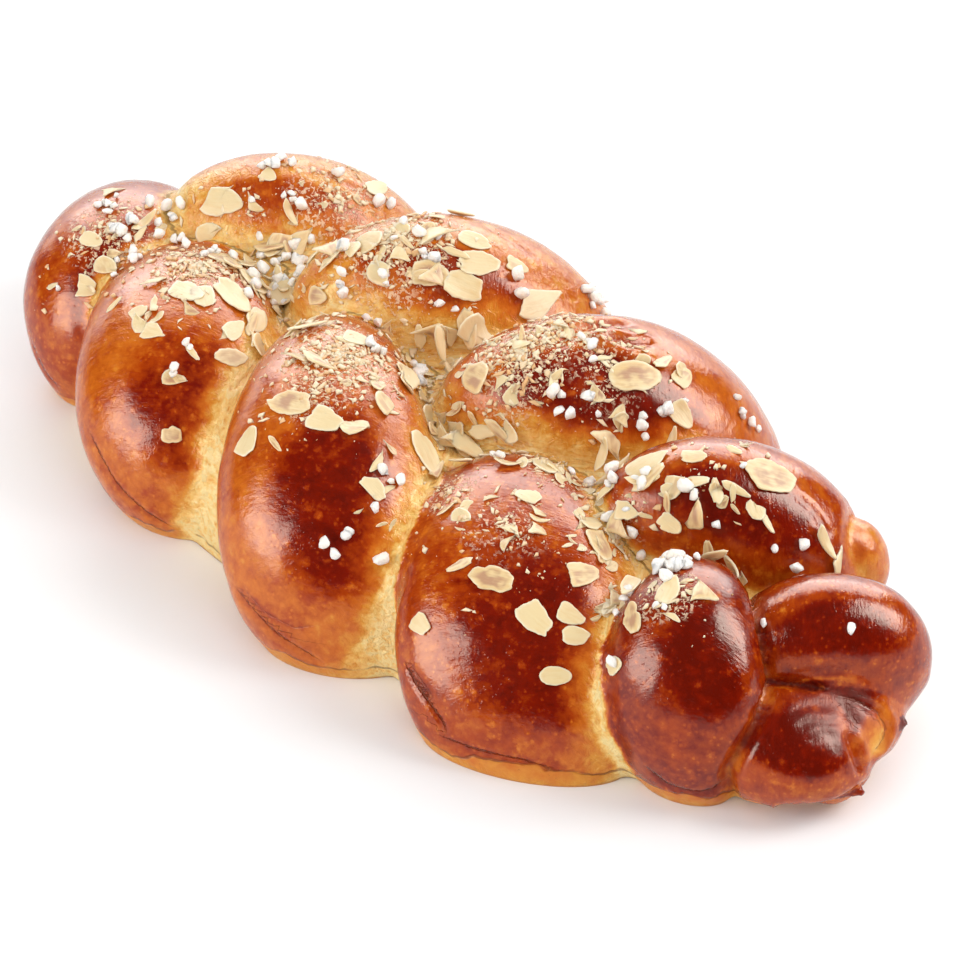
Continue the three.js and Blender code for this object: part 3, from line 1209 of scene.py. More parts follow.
    def gaps(self, points: np.ndarray, shells: dict) -> np.ndarray:
        """How far each point is from each skin.

        Args:
            points: rows of x, y, z in millimetres.
            shells: points and faces by strand.

        Returns:
            A row for each point and a column for each skin, at most `reach`.
        """
        gap = np.full((len(points), len(shells)), self.reach)
        for column, (skin, faces) in enumerate(shells.values()):
            tree = BVHTree.FromPolygons(skin.tolist(), faces)
            low, high = skin.min(0) - self.reach, skin.max(0) + self.reach
            for row in np.flatnonzero(np.all((points > low) & (points < high), axis=1)):
                far = tree.find_nearest(points[row], self.reach)[3]
                if far is not None:
                    gap[row, column] = far
        return gap

    @staticmethod
    def grain(points: np.ndarray, rear: np.ndarray) -> np.ndarray:
        """Coordinates whose first axis runs with the strands, so fibres cross the creases.

        Args:
            points: rows of x, y, z in millimetres.
            rear: which of them lie on strands that lean towards the back.

        Returns:
            Rows of length along, across and height.
        """
        turned = []
        for heading in (-57.0, 51.0):
            angle = math.radians(heading)
            along = points[:, 0] * math.cos(angle) + points[:, 1] * math.sin(angle)
            across = points[:, 1] * math.cos(angle) - points[:, 0] * math.sin(angle)
            turned.append(np.column_stack([along, across, points[:, 2]]))
        return np.where(rear[:, None], turned[1], turned[0])

    def relief(self, obj: bpy.types.Object) -> bpy.types.Object:
        """Rounds the creases and raises lumps, puckers and torn crumb.

        Args:
            obj: the loaf's object.

        Returns:
            The loaf in its last shape.
        """
        shaper = Shaper("crust_relief", Soften=self.soften, Lump=self.lump,
                        Lump_Height=self.lump_height, Pucker=self.pucker,
                        Pucker_Height=self.pucker_height, Shred_Height=self.shred_height)
        shred = shaper.attribute("shred")
        free = shaper.add("ShaderNodeSeparateXYZ", sockets={0: shaper.mm}, output="Z")
        blurred = shaper.add("GeometryNodeBlurAttribute", {"data_type": "FLOAT_VECTOR"}, {
            "Value": shaper.add("GeometryNodeInputPosition"),
            "Iterations": shaper.given("Soften"),
            "Weight": shaper.attribute("soft") * free.rise(0.2, 3.0)}, "Value")
        shaper.then("GeometryNodeSetPosition", sockets={"Position": blurred})
        lump = shaper.scaled_noise("Lump", 2.0) * shaper.given("Lump Height")
        pucker = shaper.scaled_noise("Pucker", 3.0) * shaper.given("Pucker Height")
        fibres = shaper.noise(1.0, 2.0, 0.5, at=shaper.attribute("grain", "FLOAT_VECTOR")
                              * (0.42, 0.14, 0.14)) - 0.5
        height = (lump + pucker * (0.35 + shred) + fibres * shred * shaper.given("Shred Height")
                  - shaper.attribute("press")) * free.rise(0.0, 6.0) * MM
        shaper.then("GeometryNodeSetPosition", sockets={
            "Offset": shaper.add("GeometryNodeInputNormal") * height})
        return shaper.run(obj, "loaf_crust")

    def build(self) -> bpy.types.Object:
        """Makes the loaf.

        Returns:
            The finished piece.
        """
        shells = self.shells()
        obj = self.rough(shells)
        self.read(obj, shells)
        self.piece = self.relief(obj)
        mesh = self.piece.data
        self.tree = BVHTree.FromPolygons(points_of(mesh).tolist(),
                                         [tuple(face.vertices) for face in mesh.polygons])
        wear(self.piece, CrustFinish().material(), ["loaf"])
        return self.piece

    def under(self, x: float, y: float) -> tuple:
        """The crust below a place of the plan.

        Args:
            x: along the loaf in millimetres, in the maker's plan.
            y: across it.

        Returns:
            The point in metres and its normal, or None twice beside the loaf.
        """
        top = Vector(((x + self.shift[0]) * MM, (y + self.shift[1]) * MM, 0.2))
        point, normal, _, _ = self.tree.ray_cast(top, Vector((0, 0, -1)))
        return point, normal


# ------------------------------------------------------------------ almonds


@dataclass
class AlmondFlakes:
    """The larger almond slices, one for each solid of that name.

    Each keeps its solid's outline and place, gets a finer rim and a slight warp, and settles
    on the crust. Sizes are in millimetres. A flake is felt down from `feel` above each point,
    drops by `drop_limit` at most and rises by `rise_limit`. It sags by the share `sag` of the
    room under it, up to `sag_limit`. The flakes of the numbers in `toasted` are browned in the
    middle; the tone of the others stays below `plain_tone`.
    """

    loaf: Loaf
    prefix: str = "almond_flake_"
    sides: int = 44
    thick: float = 0.9
    warp: float = 0.11
    gap: float = 0.12
    drop_limit: float = 6.0
    rise_limit: float = 2.0
    feel: float = 4.0
    feel_depth: float = 20.0
    sag: float = 0.45
    sag_limit: float = 1.6
    plain_tone: float = 0.6
    toasted_tone: float = 0.95
    toasted: tuple = (10, 13, 14, 21, 22, 30, 33, 38, 39, 45, 47, 48)
    seed: int = 5
    rings: tuple = ((0.0, 0.5), (0.3, 0.5), (0.6, 0.5), (0.82, 0.5), (0.95, 0.44), (1.0, 0.2))

    def outline(self, solid: bpy.types.Object) -> tuple:
        """The middle, axes and outline of a flake's solid.

        Args:
            solid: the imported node.

        Returns:
            The middle, a matrix with the axes as columns, and the outline in millimetres.
        """
        points = points_of(solid.data)
        middle = points.mean(0)
        _, _, axes = np.linalg.svd(points - middle, full_matrices=False)
        up = axes[2] * (1 if axes[2][2] >= 0 else -1)
        long = axes[0] - up * (axes[0] @ up)
        long /= np.linalg.norm(long)
        basis = np.column_stack([long, np.cross(up, long), up])
        flat = np.unique(np.round((points - middle) @ basis / MM, 2)[:, :2], axis=0)
        centre = (flat.min(0) + flat.max(0)) / 2
        flat = flat - centre
        middle = middle + basis[:, :2] @ centre * MM
        order = np.argsort(np.arctan2(flat[:, 1], flat[:, 0]))
        return middle, basis, flat[order]

    def edge(self, outline: np.ndarray, rng: np.random.Generator) -> np.ndarray:
        """A finer outline, rounded and slightly uneven.

        Args:
            outline: the solid's outline.
            rng: the random numbers.

        Returns:
            The points of the edge in millimetres.
        """
        closed = np.vstack([outline, outline[:1]])
        run = np.concatenate([[0], np.cumsum(np.linalg.norm(np.diff(closed, axis=0), axis=1))])
        at = np.linspace(0, run[-1], self.sides, endpoint=False)
        fine = np.column_stack([np.interp(at, run, closed[:, axis]) for axis in (0, 1)])
        for _ in range(2):
            fine = fine * 0.5 + (np.roll(fine, 1, 0) + np.roll(fine, -1, 0)) * 0.25
        fine *= 1.03
        for _ in range(rng.integers(0, 4)):
            way = random_way(rng, 2)
            fine = chipped(fine, way, (fine @ way).max() * rng.uniform(0.68, 0.88))
        turn = np.arange(self.sides) / self.sides * 2 * np.pi
        ripple = sum(rng.normal(0, 0.03 / rate ** 0.5) * np.cos(rate * turn + rng.uniform(0, 6.3))
                     for rate in (2, 3, 5, 7, 11))
        for _ in range(rng.integers(0, 4)):
            off = np.angle(np.exp(1j * (turn - rng.uniform(0, 6.3))))
            ripple -= rng.uniform(0.06, 0.20) * np.exp(-(off / rng.uniform(0.10, 0.3)) ** 2)
        ripple += rng.normal(0, 0.012, self.sides)
        return fine * (1.0 + ripple)[:, None]

    def flake(self, solid: bpy.types.Object, number: int, rng: np.random.Generator) -> tuple:
        """One flake.

        Args:
            solid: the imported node.
            number: the flake's number.
            rng: the random numbers.

        Returns:
            Points in metres, faces and the values kept on them.
        """
        middle, basis, outline = self.outline(solid)
        edge = self.edge(outline, rng)
        half = np.abs(edge).max(0)
        levels = [(share, height) for share, height in self.rings]
        levels += [(share, -height) for share, height in reversed(self.rings)]
        rows, rims = [], []
        for share, height in levels:
            ring = edge * share
            if share == 0.0:
                ring = ring[:1] * 0.0
            rows.append(np.column_stack([ring, np.full(len(ring), height * self.thick)]))
            rims.append(np.full(len(ring), share))
        points = np.vstack(rows)
        cup = rng.uniform(-1.0, 1.4) * self.warp * half[0]
        roll = rng.uniform(-0.6, 1.2) * self.warp * half[0]
        twist = rng.normal(0, 0.7) * self.warp * half[0]
        x, y = points[:, 0] / half[0], points[:, 1] / half[1]
        points[:, 2] += cup * x ** 2 + roll * y ** 2 + twist * x * y
        sides = self.sides
        faces = []
        starts = [0] + [1 + sides * i for i in range(len(levels) - 2)]
        last = 1 + sides * (len(levels) - 2)
        for j in range(sides):
            after = (j + 1) % sides
            faces.append((0, 1 + j, 1 + after))
            faces.append((last, starts[-1] + after, starts[-1] + j))
            for i in range(1, len(levels) - 2):
                a, b = starts[i], starts[i + 1]
                faces.append((a + j, b + j, b + after, a + after))
        world = middle + points @ basis.T * MM
        world = self.settle(world, basis[:, 2], points[:, 2] <= 0)
        tone = rng.uniform(0, 1) * self.plain_tone
        tone = self.toasted_tone if number + 1 in self.toasted else tone
        kept = {"rim": np.concatenate(rims), "tone": np.full(len(points), tone),
                "slice": points + np.array([0, 0, number * 30.0])}
        return world, faces, kept

    def settle(self, world: np.ndarray, up: np.ndarray, low: np.ndarray) -> np.ndarray:
        """Lowers a flake until it touches the crust, and lets it sag a little.

        Args:
            world: its points in metres.
            up: the direction that it faces.
            low: which points are on its lower side.

        Returns:
            The points in their last place.
        """
        down = Vector(-up)
        room = np.full(len(world), self.drop_limit * MM)
        above = self.feel * MM
        for number, point in enumerate(world):
            far = self.loaf.tree.ray_cast(Vector(point) - down * above, down,
                                          self.feel_depth * MM)[3]
            if far is not None:
                room[number] = far - above
        free = np.clip(room[low].min() - self.gap * MM, -self.rise_limit * MM,
                       self.drop_limit * MM)
        sag = np.clip(room - free - self.gap * MM, 0, self.sag_limit * MM) * self.sag
        return world - up * (free + sag)[:, None]

    def build(self) -> bpy.types.Object:
        """Makes all flakes in one piece.

        Returns:
            The finished piece.
        """
        rng = np.random.default_rng(self.seed)
        names = sorted(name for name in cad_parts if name.startswith(self.prefix))
        made = [self.flake(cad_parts[name], number, rng)
                for number, name in enumerate(names)]
        mesh = mesh_of("almond_flakes", *joined([part[:2] for part in made]))
        for key in made[0][2]:
            keep(mesh, key, np.concatenate([kept[key] for _, _, kept in made]))
        piece = add_object("almond_flakes", mesh)
        wear(piece, AlmondFinish().material(), names)
        return piece


# ------------------------------------------------------------------ sprinkles


@dataclass(frozen=True)
class Patch:
    """A place where toppings fell: middle and spread in millimetres, and how many."""

    x: float
    y: float
    spread: float
    count: int


@dataclass(frozen=True)
class Slice:
    """One slice with its own place: middle, length in millimetres, heading and lean."""

    x: float
    y: float
    length: float
    heading: float
    lean: float


@dataclass
class Sprinkle:
    """Many small toppings of one kind, laid on the crust by Geometry Nodes.

    `sizes` are the smallest and largest in millimetres, `bias` favours small ones, `tilt` is
    how far in degrees they may lean, and `sink` is the share of the size that is pressed in.
    Those that `gather` lie closest in the middle of each patch, spread by the share `gathered`
    of its radius and at most `strayed`; `even` is the power that spreads the others. `single`
    ones have places of their own, and their lean is taken `stand` times. None lies where the
    crust faces up by less than `steepest` or is lower than `lowest`, and a patch is given up
    after `patience` tries for each. One longer than `bridge` lies on the crust under its ends.
    """

    name: str
    slot: Slot
    material: bpy.types.Material
    patches: tuple
    sizes: tuple
    bias: float
    tilt: float
    sink: float
    seed: int
    gather: bool = False
    single: tuple = ()
    lowest: float = 4.0
    patience: int = 8
    gathered: float = 0.62
    strayed: float = 1.5
    even: float = 0.6
    steepest: float = 0.12
    stand: float = -0.45
    bridge: float = 5.5

    def prototypes(self) -> list:
        """The few shapes that repeat, one millimetre in size."""
        raise NotImplementedError

    def places(self, loaf: Loaf) -> tuple:
        """Where the toppings lie.

        Args:
            loaf: the crust that carries them.

        Returns:
            Points in metres, turns as Euler angles and sizes in millimetres.
        """
        rng = np.random.default_rng(self.seed)
        laid = [self.lay(loaf, one.x, one.y, one.length, math.radians(one.heading),
                         math.radians(one.lean) * self.stand) for one in self.single]
        laid = [one for one in laid if one]
        smallest, largest = self.sizes
        for patch in self.patches:
            full, tries = len(laid) + patch.count, 0
            while len(laid) < full and tries < patch.count * self.patience:
                tries += 1
                turn = rng.uniform(0, 2 * math.pi)
                if self.gather:
                    out = min(abs(rng.normal(0.0, self.gathered)), self.strayed)
                else:
                    out = rng.uniform() ** self.even
                grown = smallest + (largest - smallest) * rng.uniform() ** self.bias
                one = self.lay(loaf, patch.x + patch.spread * out * math.cos(turn),
                               patch.y + patch.spread * out * math.sin(turn),
                               grown, rng.uniform(0, 2 * math.pi), 0.0)
                if one:
                    laid.append(one)
        points, turns, sizes = zip(*laid)
        return np.array(points), np.array(turns), np.array(sizes)

    def lay(self, loaf: Loaf, x: float, y: float, size: float, heading: float,
            lean: float) -> tuple | None:
        """Finds how one topping lies on the crust.

        Args:
            loaf: the crust that carries it.
            x: along the loaf in millimetres, in the maker's plan.
            y: across it.
            size: its size in millimetres.
            heading: the direction of its long axis in plan.
            lean: how far it is turned about that axis.

        Returns:
            Its point in metres, its turn as Euler angles and its size, or None where the
            crust can't carry it.
        """
        point, normal = loaf.under(x, y)
        if point is None or normal.z < self.steepest or point.z < self.lowest * MM:
            return None
        long = Vector((math.cos(heading), math.sin(heading), 0.0))
        if size > self.bridge:
            step = long * size * 0.4
            ends = [loaf.under(x + side * step.x, y + side * step.y)[0] for side in (-1, 1)]
            if None not in ends:
                long = (ends[1] - ends[0]).normalized()
                middle = (ends[0] + ends[1]) / 2
                point = middle if middle.z > point.z else point
                normal = (normal - long * normal.dot(long)).normalized()
                normal = normal if normal.z > 0 else Vector((0, 0, 1))
        long = (long - normal * long.dot(normal)).normalized()
        axes = Matrix((long, normal.cross(long), normal)).transposed()
        lift = (0.5 - self.sink) * size + 0.2 * size * abs(math.sin(lean))
        return (point + normal * lift * MM, (axes @ Matrix.Rotation(lean, 3, "X")).to_euler(),
                size)

    def build(self, loaf: Loaf) -> bpy.types.Object:
        """Makes the piece.

        Args:
            loaf: the crust that carries it.

        Returns:
            The finished piece.
        """
        points, turns, sizes = self.places(loaf)
        mesh = mesh_of(self.name, points, [])
        keep(mesh, "turn", turns)
        keep(mesh, "size", sizes)
        shapes = bpy.data.collections.new(self.name + "_shapes")
        made = self.prototypes()
        for shape in made:
            shapes.objects.link(shape)
        shaper = Shaper(self.name, Shapes=shapes, Tilt=math.radians(self.tilt), Seed=self.seed,
                        Finish=self.material)
        seed = shaper.given("Seed")
        lean = shaper.random((-1.0, -1.0, 0.0), (1.0, 1.0, 0.0), seed + 1, "FLOAT_VECTOR")
        laid = shaper.add("FunctionNodeEulerToRotation", sockets={
            "Euler": shaper.attribute("turn", "FLOAT_VECTOR")})
        leaning = shaper.add("FunctionNodeRotateRotation", {"rotation_space": "LOCAL"}, {
            "Rotation": laid, "Rotate By": lean * shaper.given("Tilt")})
        bits = shaper.add("GeometryNodeCollectionInfo", sockets={
            "Collection": shaper.given("Shapes"), "Separate Children": True,
            "Reset Children": True})
        shaper.then("GeometryNodeInstanceOnPoints", sockets={
            "Instance": bits, "Pick Instance": True,
            "Instance Index": shaper.random(0, len(made) - 1, seed + 3, "INT"),
            "Rotation": leaning, "Scale": shaper.attribute("size")})
        shaper.then("GeometryNodeStoreNamedAttribute", {
            "data_type": "FLOAT", "domain": "INSTANCE"}, {
            "Name": "tone", "Value": shaper.random(0.0, 1.0, seed + 4)})
        shaper.then("GeometryNodeRealizeInstances")
        shaper.then("GeometryNodeSetMaterial", sockets={"Material": shaper.given("Finish")})
        piece = shaper.run(add_object(self.name + "_points", mesh), self.name)
        for shape in made:
            bpy.data.objects.remove(shape)
        bpy.data.collections.remove(shapes)
        wear(piece, self.material, [])
        return piece


def chipped_ball(name: str, rng: np.random.Generator, fineness: int, cuts: int,
                 stretch: tuple) -> bpy.types.Object:
    """A ball one millimetre across with flat chips, not in the scene.

    Args:
        name: its name.
        rng: the random numbers.
        fineness: how often its faces are divided.
        cuts: the number of chips.
        stretch: its size along x, y and z.

    Returns:
        The object.
    """
    shape = bmesh.new()
    bmesh.ops.create_icosphere(shape, subdivisions=fineness, radius=0.5 * MM)
    points = np.array([vert.co for vert in shape.verts])
    for _ in range(cuts):
        points = chipped(points, random_way(rng, 3), rng.uniform(0.24, 0.40) * MM)
    points *= np.array(stretch) * rng.uniform(0.8, 1.2, 3)
    points += rng.normal(0, 0.018 * MM, points.shape)
    for vert, point in zip(shape.verts, points):
        vert.co = point
    mesh = bpy.data.meshes.new(name)
    shape.to_mesh(mesh)
    shape.free()
    return bpy.data.objects.new(name, mesh)


@dataclass
class SugarNibs(Sprinkle):
    """Pearl sugar: chalky white nibs with chipped sides."""

    def prototypes(self) -> list:
        """Nine nibs."""
        rng = np.random.default_rng(self.seed)
        return [chipped_ball(f"nib_{i}", rng, 2, 14, (1.25, 1.05, 0.9)) for i in range(9)]


@dataclass
class FineCrumbs(Sprinkle):
    """Flat four-sided chips of almond and dry dough."""

    shapes: tuple = ((1.0, 0.8, 0.4), (1.5, 0.9, 0.22), (1.9, 0.6, 0.2), (1.2, 1.1, 0.22),
                     (2.3, 0.8, 0.18), (0.9, 0.9, 0.45), (1.7, 1.2, 0.18), (1.3, 0.7, 0.3))

    def prototypes(self) -> list:
        """Eight chips, from grains to slivers."""
        rng = np.random.default_rng(self.seed)
        made = []
        for number, stretch in enumerate(self.shapes):
            turn = (np.arange(4) + rng.uniform(-0.3, 0.3, 4)) / 4 * 2 * np.pi
            edge = np.column_stack([np.cos(turn), np.sin(turn)]) * rng.uniform(0.38, 0.62, (4, 1))
            rows = [np.column_stack([edge * share, np.full(4, height)])
                    for share, height in ((0.8, 0.5), (1.0, -0.5))]
            points = np.vstack(rows) * np.array(stretch)
            faces = [(0, 1, 2, 3), (7, 6, 5, 4)]
            faces += [(j, 4 + j, 4 + (j + 1) % 4, (j + 1) % 4) for j in range(4)]
            made.append(bpy.data.objects.new(f"crumb_{number}", mesh_of(
                f"crumb_{number}", points * MM, faces)))
        return made


@dataclass
class FlakeBits(Sprinkle):
    """Small whole and broken almond slices.

    `levels` are a slice's rings from top to bottom: how far out, as a share, and how high.
    """

    sides: int = 18
    levels: tuple = ((0.45, 0.03), (0.86, 0.029), (1.0, 0.01), (0.97, -0.027), (0.45, -0.029))
    bends: tuple = (0.0, 0.25, -0.3, 0.5, 0.15, 0.6, -0.2, 0.35, 0.8, 0.1, -0.5, 0.4)

    def prototypes(self) -> list:
        """Twelve slices, from whole eggs to slivers, a millimetre long."""
        rng = np.random.default_rng(self.seed)
        return [self.slice(f"bit_{i:02d}", rng, i % 4, bend)
                for i, bend in enumerate(self.bends)]

    def slice(self, name: str, rng: np.random.Generator, cuts: int,
              bend: float) -> bpy.types.Object:
        """One slice, not in the scene.

        Args:
            name: its name.
            rng: the random numbers.
            cuts: how many times it was broken across.
            bend: how far it is curled along its length.

        Returns:
            The object.
        """
        n = self.sides
        turn = np.arange(n) / n * 2 * np.pi
        edge = np.column_stack([np.cos(turn) * 0.5, np.sin(turn) * (1 - 0.25 * np.cos(turn))
                                * rng.choice((0.14, 0.22, 0.31))])
        for _ in range(cuts):
            edge = chipped(edge, random_way(rng, 2), rng.uniform(0.02, 0.2))
        edge -= (edge.max(0) + edge.min(0)) / 2
        edge *= rng.uniform(0.9, 1.05) / max(np.ptp(edge[:, 0]), np.ptp(edge[:, 1]))
        edge = edge * (1 + rng.uniform(-0.09, 0.09, (n, 1)))
        rows = []
        for share, height in self.levels:
            ring = edge * share
            rows.append(np.column_stack([ring, height + bend * (ring[:, 0] ** 2 - 0.06)
                                         + 0.3 * bend * ring[:, 0] * ring[:, 1]]))
        points = np.vstack([*rows, [[0, 0, 0.03 - 0.06 * bend]],
                            [[0, 0, -0.029 - 0.06 * bend]]]) * MM
        faces, count = [], len(rows)
        for j in range(n):
            after = (j + 1) % n
            faces.append((count * n, j, after))
            faces += [(i * n + j, (i + 1) * n + j, (i + 1) * n + after, i * n + after)
                      for i in range(count - 1)]
            faces.append((count * n + 1, (count - 1) * n + after, (count - 1) * n + j))
        mesh = mesh_of(name, points, faces)
        keep(mesh, "rim", np.repeat([*(share for share, _ in self.levels), 0.0],
                                    [n] * count + [2]))
        keep(mesh, "slice", points / MM * 9.0)
        return bpy.data.objects.new(name, mesh)


def patches(rows: tuple) -> tuple:
    """Patches from their sizes in the order of the fields."""
    return tuple(Patch(*row) for row in rows)


SLICES = tuple(Slice(*row) for row in (
    (-117, -2, 13, -20, 35), (-109, 1, 13, -5, 30), (-107, 9, 12, -10, 35),
    (-66, -16, 10, 105, 65), (-86, -17, 10, -30, 60), (-118, 18, 9, 95, 40),
    (-120, 16, 11, 35, 60), (-119, 16, 8, 35, 60), (-79, 22, 12, 0, 12), (-82, 18, 7, -10, 15),
    (-56, 29, 12, 10, 25), (-52, 24, 13, 30, 30), (-58, 38, 9, 30, 10), (-65, 37, 12, 35, 60),
    (-73, 53, 10, 45, 20), (-70, 29, 7, 0, 15), (-46, -25, 12, 20, 10), (-53, -28, 11, -10, 25),
    (-22, -33, 9, 40, 12), (-24, -20, 9, 5, 30), (-30, -17, 6, 0, 20), (-12, -28, 6, -20, 50),
    (-48, 23, 13, -25, 60), (-17, -3, 10, 125, 60), (-11, -2, 13, -10, 60),
    (-35, -51, 7, -10, 20), (-93, -36, 8, -5, 20), (-120, 24, 9, 0, 60), (-129, 18, 8, 25, 20),
    (-70, 18, 9, 25, 15), (-88, 14, 11, -25, 20), (-115, 20, 8, -25, 30), (-45, 31, 13, -30, 30),
    (-48, 27, 8, -30, 30), (-43, 32, 13, -10, 25), (-15, 8, 12, 0, 15), (-17, 2, 7, 30, 50),
    (-11, 3, 6, 0, 50), (-3, 6, 11, 20, 25), (-7, 4, 10, 25, 25), (-9, -1, 13, 10, 65),
    (-1, -10, 12, -10, 65), (-14, 0, 7, 50, 50), (-4, -19, 10, 120, 55), (14, 17, 12, 40, 55),
    (23, 22, 10, 110, 60), (23, 24, 12, -25, 30), (34, 38, 10, 110, 50), (50, 12, 10, 30, 20),
    (49, 4, 10, 115, 55), (55, 8, 5, 15, 20), (58, 14, 6, 15, 15), (58, 13, 5, 30, 15),
    (6, 19, 6, 25, 12), (10, 33, 7, 55, 15), (20, 48, 9, 100, 30), (24, 52, 7, 75, 15),
    (-1, 81, 9, 60, 20), (23, 30, 8, 90, 10), (21, -19, 5, 30, 15), (34, -13, 6, 40, 20),
    (36, -15, 6, 30, 20), (40, -18, 8, 25, 20), (13, -29, 6, 80, 40), (3, 39, 5, 60, 15),
    (8, 50, 6, 65, 15), (-174, -4, 8, 55, 20), (-152, -21, 8, 30, 20), (-156, -6, 10, 95, 20),
    (-163, -37, 5, 55, 25), (-151, -31, 8, -5, 20), (-151, -25, 8, -15, 20),
    (-127, -39, 7, 65, 20), (-149, -42, 9, -40, 50), (-123, -26, 9, 100, 25),
    (-91, -45, 7, 5, 20), (-152, -2, 4, 80, 20), (-138, 6, 8, 25, 20), (-139, 14, 6, 45, 15),
    (-104, 7, 12, 120, 50), (-113, 24, 12, 70, 35), (-86, 13, 11, 30, 25), (-93, -14, 11, 125, 40),
    (-119, 17, 12, 48, 30), (-87, -16, 8, 60, 25), (-62, -16, 13, 80, 60), (-108, 10, 11, 150, 45),
    (66, 15, 13, 120, 15), (71, 26, 9, 30, 10), (81, 29, 8, 0, 20), (58, 15, 9, 100, 20),
    (59, 12, 10, 110, 20), (62, 19, 10, 40, 15), (51, 13, 12, 65, 20), (68, 22, 8, 150, 10),
    (33, 21, 13, 103, 35), (91, -5, 10, 130, 15), (84, 12, 13, -15, 40), (80, 9, 11, -5, 40),
    (91, 42, 11, 11, 10), (95, 44, 10, -26, 10), (73, -4, 10, 100, 30), (70, 3, 11, 80, 40),
))
NIBS = patches((
    (-170, -9, 8, 6), (-153, -4, 13, 16), (-149, -21, 8, 7), (-161, -36, 1, 1),
    (-123, 28, 17, 18), (-112, 29, 8, 4), (-107, 55, 5, 3), (-75, 16, 12, 11),
    (-66, 35, 11, 7), (-37, 74, 8, 9), (4, 32, 6, 4), (-14, 60, 5, 3),
    (10, 17, 4, 4), (15, 24, 4, 3), (25, 32, 4, 2), (30, 39, 3, 2),
    (31, 48, 2, 1), (29, 31, 2, 1), (37, 65, 6, 6), (67, 33, 2, 1),
    (63, 17, 3, 2), (52, 13, 3, 2), (71, 15, 4, 5), (89, 33, 3, 2),
    (88, 29, 4, 5), (46, 4, 4, 3), (55, 6, 3, 2), (-43, -5, 4, 4),
    (-8, -31, 4, 4), (-4, -42, 1, 1), (-4, -50, 2, 2), (-7, -57, 1, 1),
    (-4, -56, 1, 1), (5, -47, 1, 1), (7, -3, 3, 2), (25, 11, 4, 3),
    (80, -5, 6, 8), (72, -17, 3, 3), (82, -29, 1, 1), (86, -17, 2, 2),
    (104, 6, 0, 1), (122, 19, 0, 1), (-127, -1, 9, 6), (-91, -42, 3, 2),
    (-94, -35, 3, 2), (-103, 1, 9, 8), (-43, 12, 8, 6), (41, 7, 8, 6),
    (-52, 29, 4, 2), (-42, 49, 4, 2), (-115, 14, 7, 6),
    (-107, 12, 6, 8), (70, 2, 5, 5), (77, 0, 5, 4), (66, -7, 4, 3),
))
CRUMBS = patches((
    (-120, -12, 19, 1000), (-45, -18, 21, 1250), (-8, 18, 17, 900),
    (-73, 28, 21, 1300), (31, -23, 20, 190), (-160, -16, 18, 380),
    (-114, 39, 20, 360), (62, 25, 14, 50), (85, -12, 11, 120),
    (-128, 14, 15, 90), (-6, 31, 15, 480), (12, 34, 18, 200),
    (-38, -34, 15, 160), (8, -23, 10, 90), (22, 6, 14, 160),
    (-100, 4, 20, 60), (-45, 14, 16, 120), (50, 2, 14, 90),
))
BITS = patches((
    (-120, 0, 12, 14), (-106, 1, 12, 9), (-95, 5, 10, 9), (-66, -12, 12, 10),
    (-55, 20, 10, 8), (-40, 15, 9, 16), (-17, 2, 9, 14), (0, 3, 8, 10),
    (13, 2, 9, 10), (27, 8, 9, 12), (43, 2, 10, 16), (54, -10, 9, 12),
    (66, -18, 8, 10), (-35, -10, 16, 12), (-10, 20, 16, 14), (-70, 30, 16, 12),
    (15, 35, 18, 10), (68, 25, 16, 12), (84, -12, 9, 6), (25, -28, 16, 8),
    (-160, -18, 12, 6), (-118, 35, 14, 8), (-105, -30, 14, 8), (-5, -38, 10, 5),
))


# ------------------------------------------------------------------ studio


class Shine(Enum):
    """What a lamp does: it shows in the gloss, or it lights the rest."""

    GLOSS = "gloss"
    LIGHT = "light"


@dataclass(frozen=True)
class Softbox:
    """A soft lamp: where it stands round the loaf, its size in metres and its power."""

    name: str
    azimuth: float
    elevation: float
    distance: float
    width: float
    height: float
    power: float
    shine: Shine

    def build(self, aim: Vector) -> bpy.types.Object:
        """Makes the lamp.

        Args:
            aim: the point that it faces.

        Returns:
            The lamp.
        """
        light = bpy.data.lights.new(self.name, "AREA")
        light.shape = "RECTANGLE"
        light.size, light.size_y = self.width, self.height
        light.energy = self.power
        lamp = bpy.data.objects.new(self.name, light)
        bpy.context.scene.collection.objects.link(lamp)
        turn, rise = math.radians(self.azimuth), math.radians(self.elevation)
        away = Vector((math.cos(turn) * math.cos(rise), math.sin(turn) * math.cos(rise),
                       math.sin(rise)))
        lamp.location = aim + away * self.distance
        lamp.rotation_mode = "QUATERNION"
        lamp.rotation_quaternion = away.to_track_quat("Z", "Y")
        lamp.visible_camera = False
        lamp.visible_diffuse = self.shine is not Shine.GLOSS
        lamp.visible_glossy = self.shine is not Shine.LIGHT
        return lamp


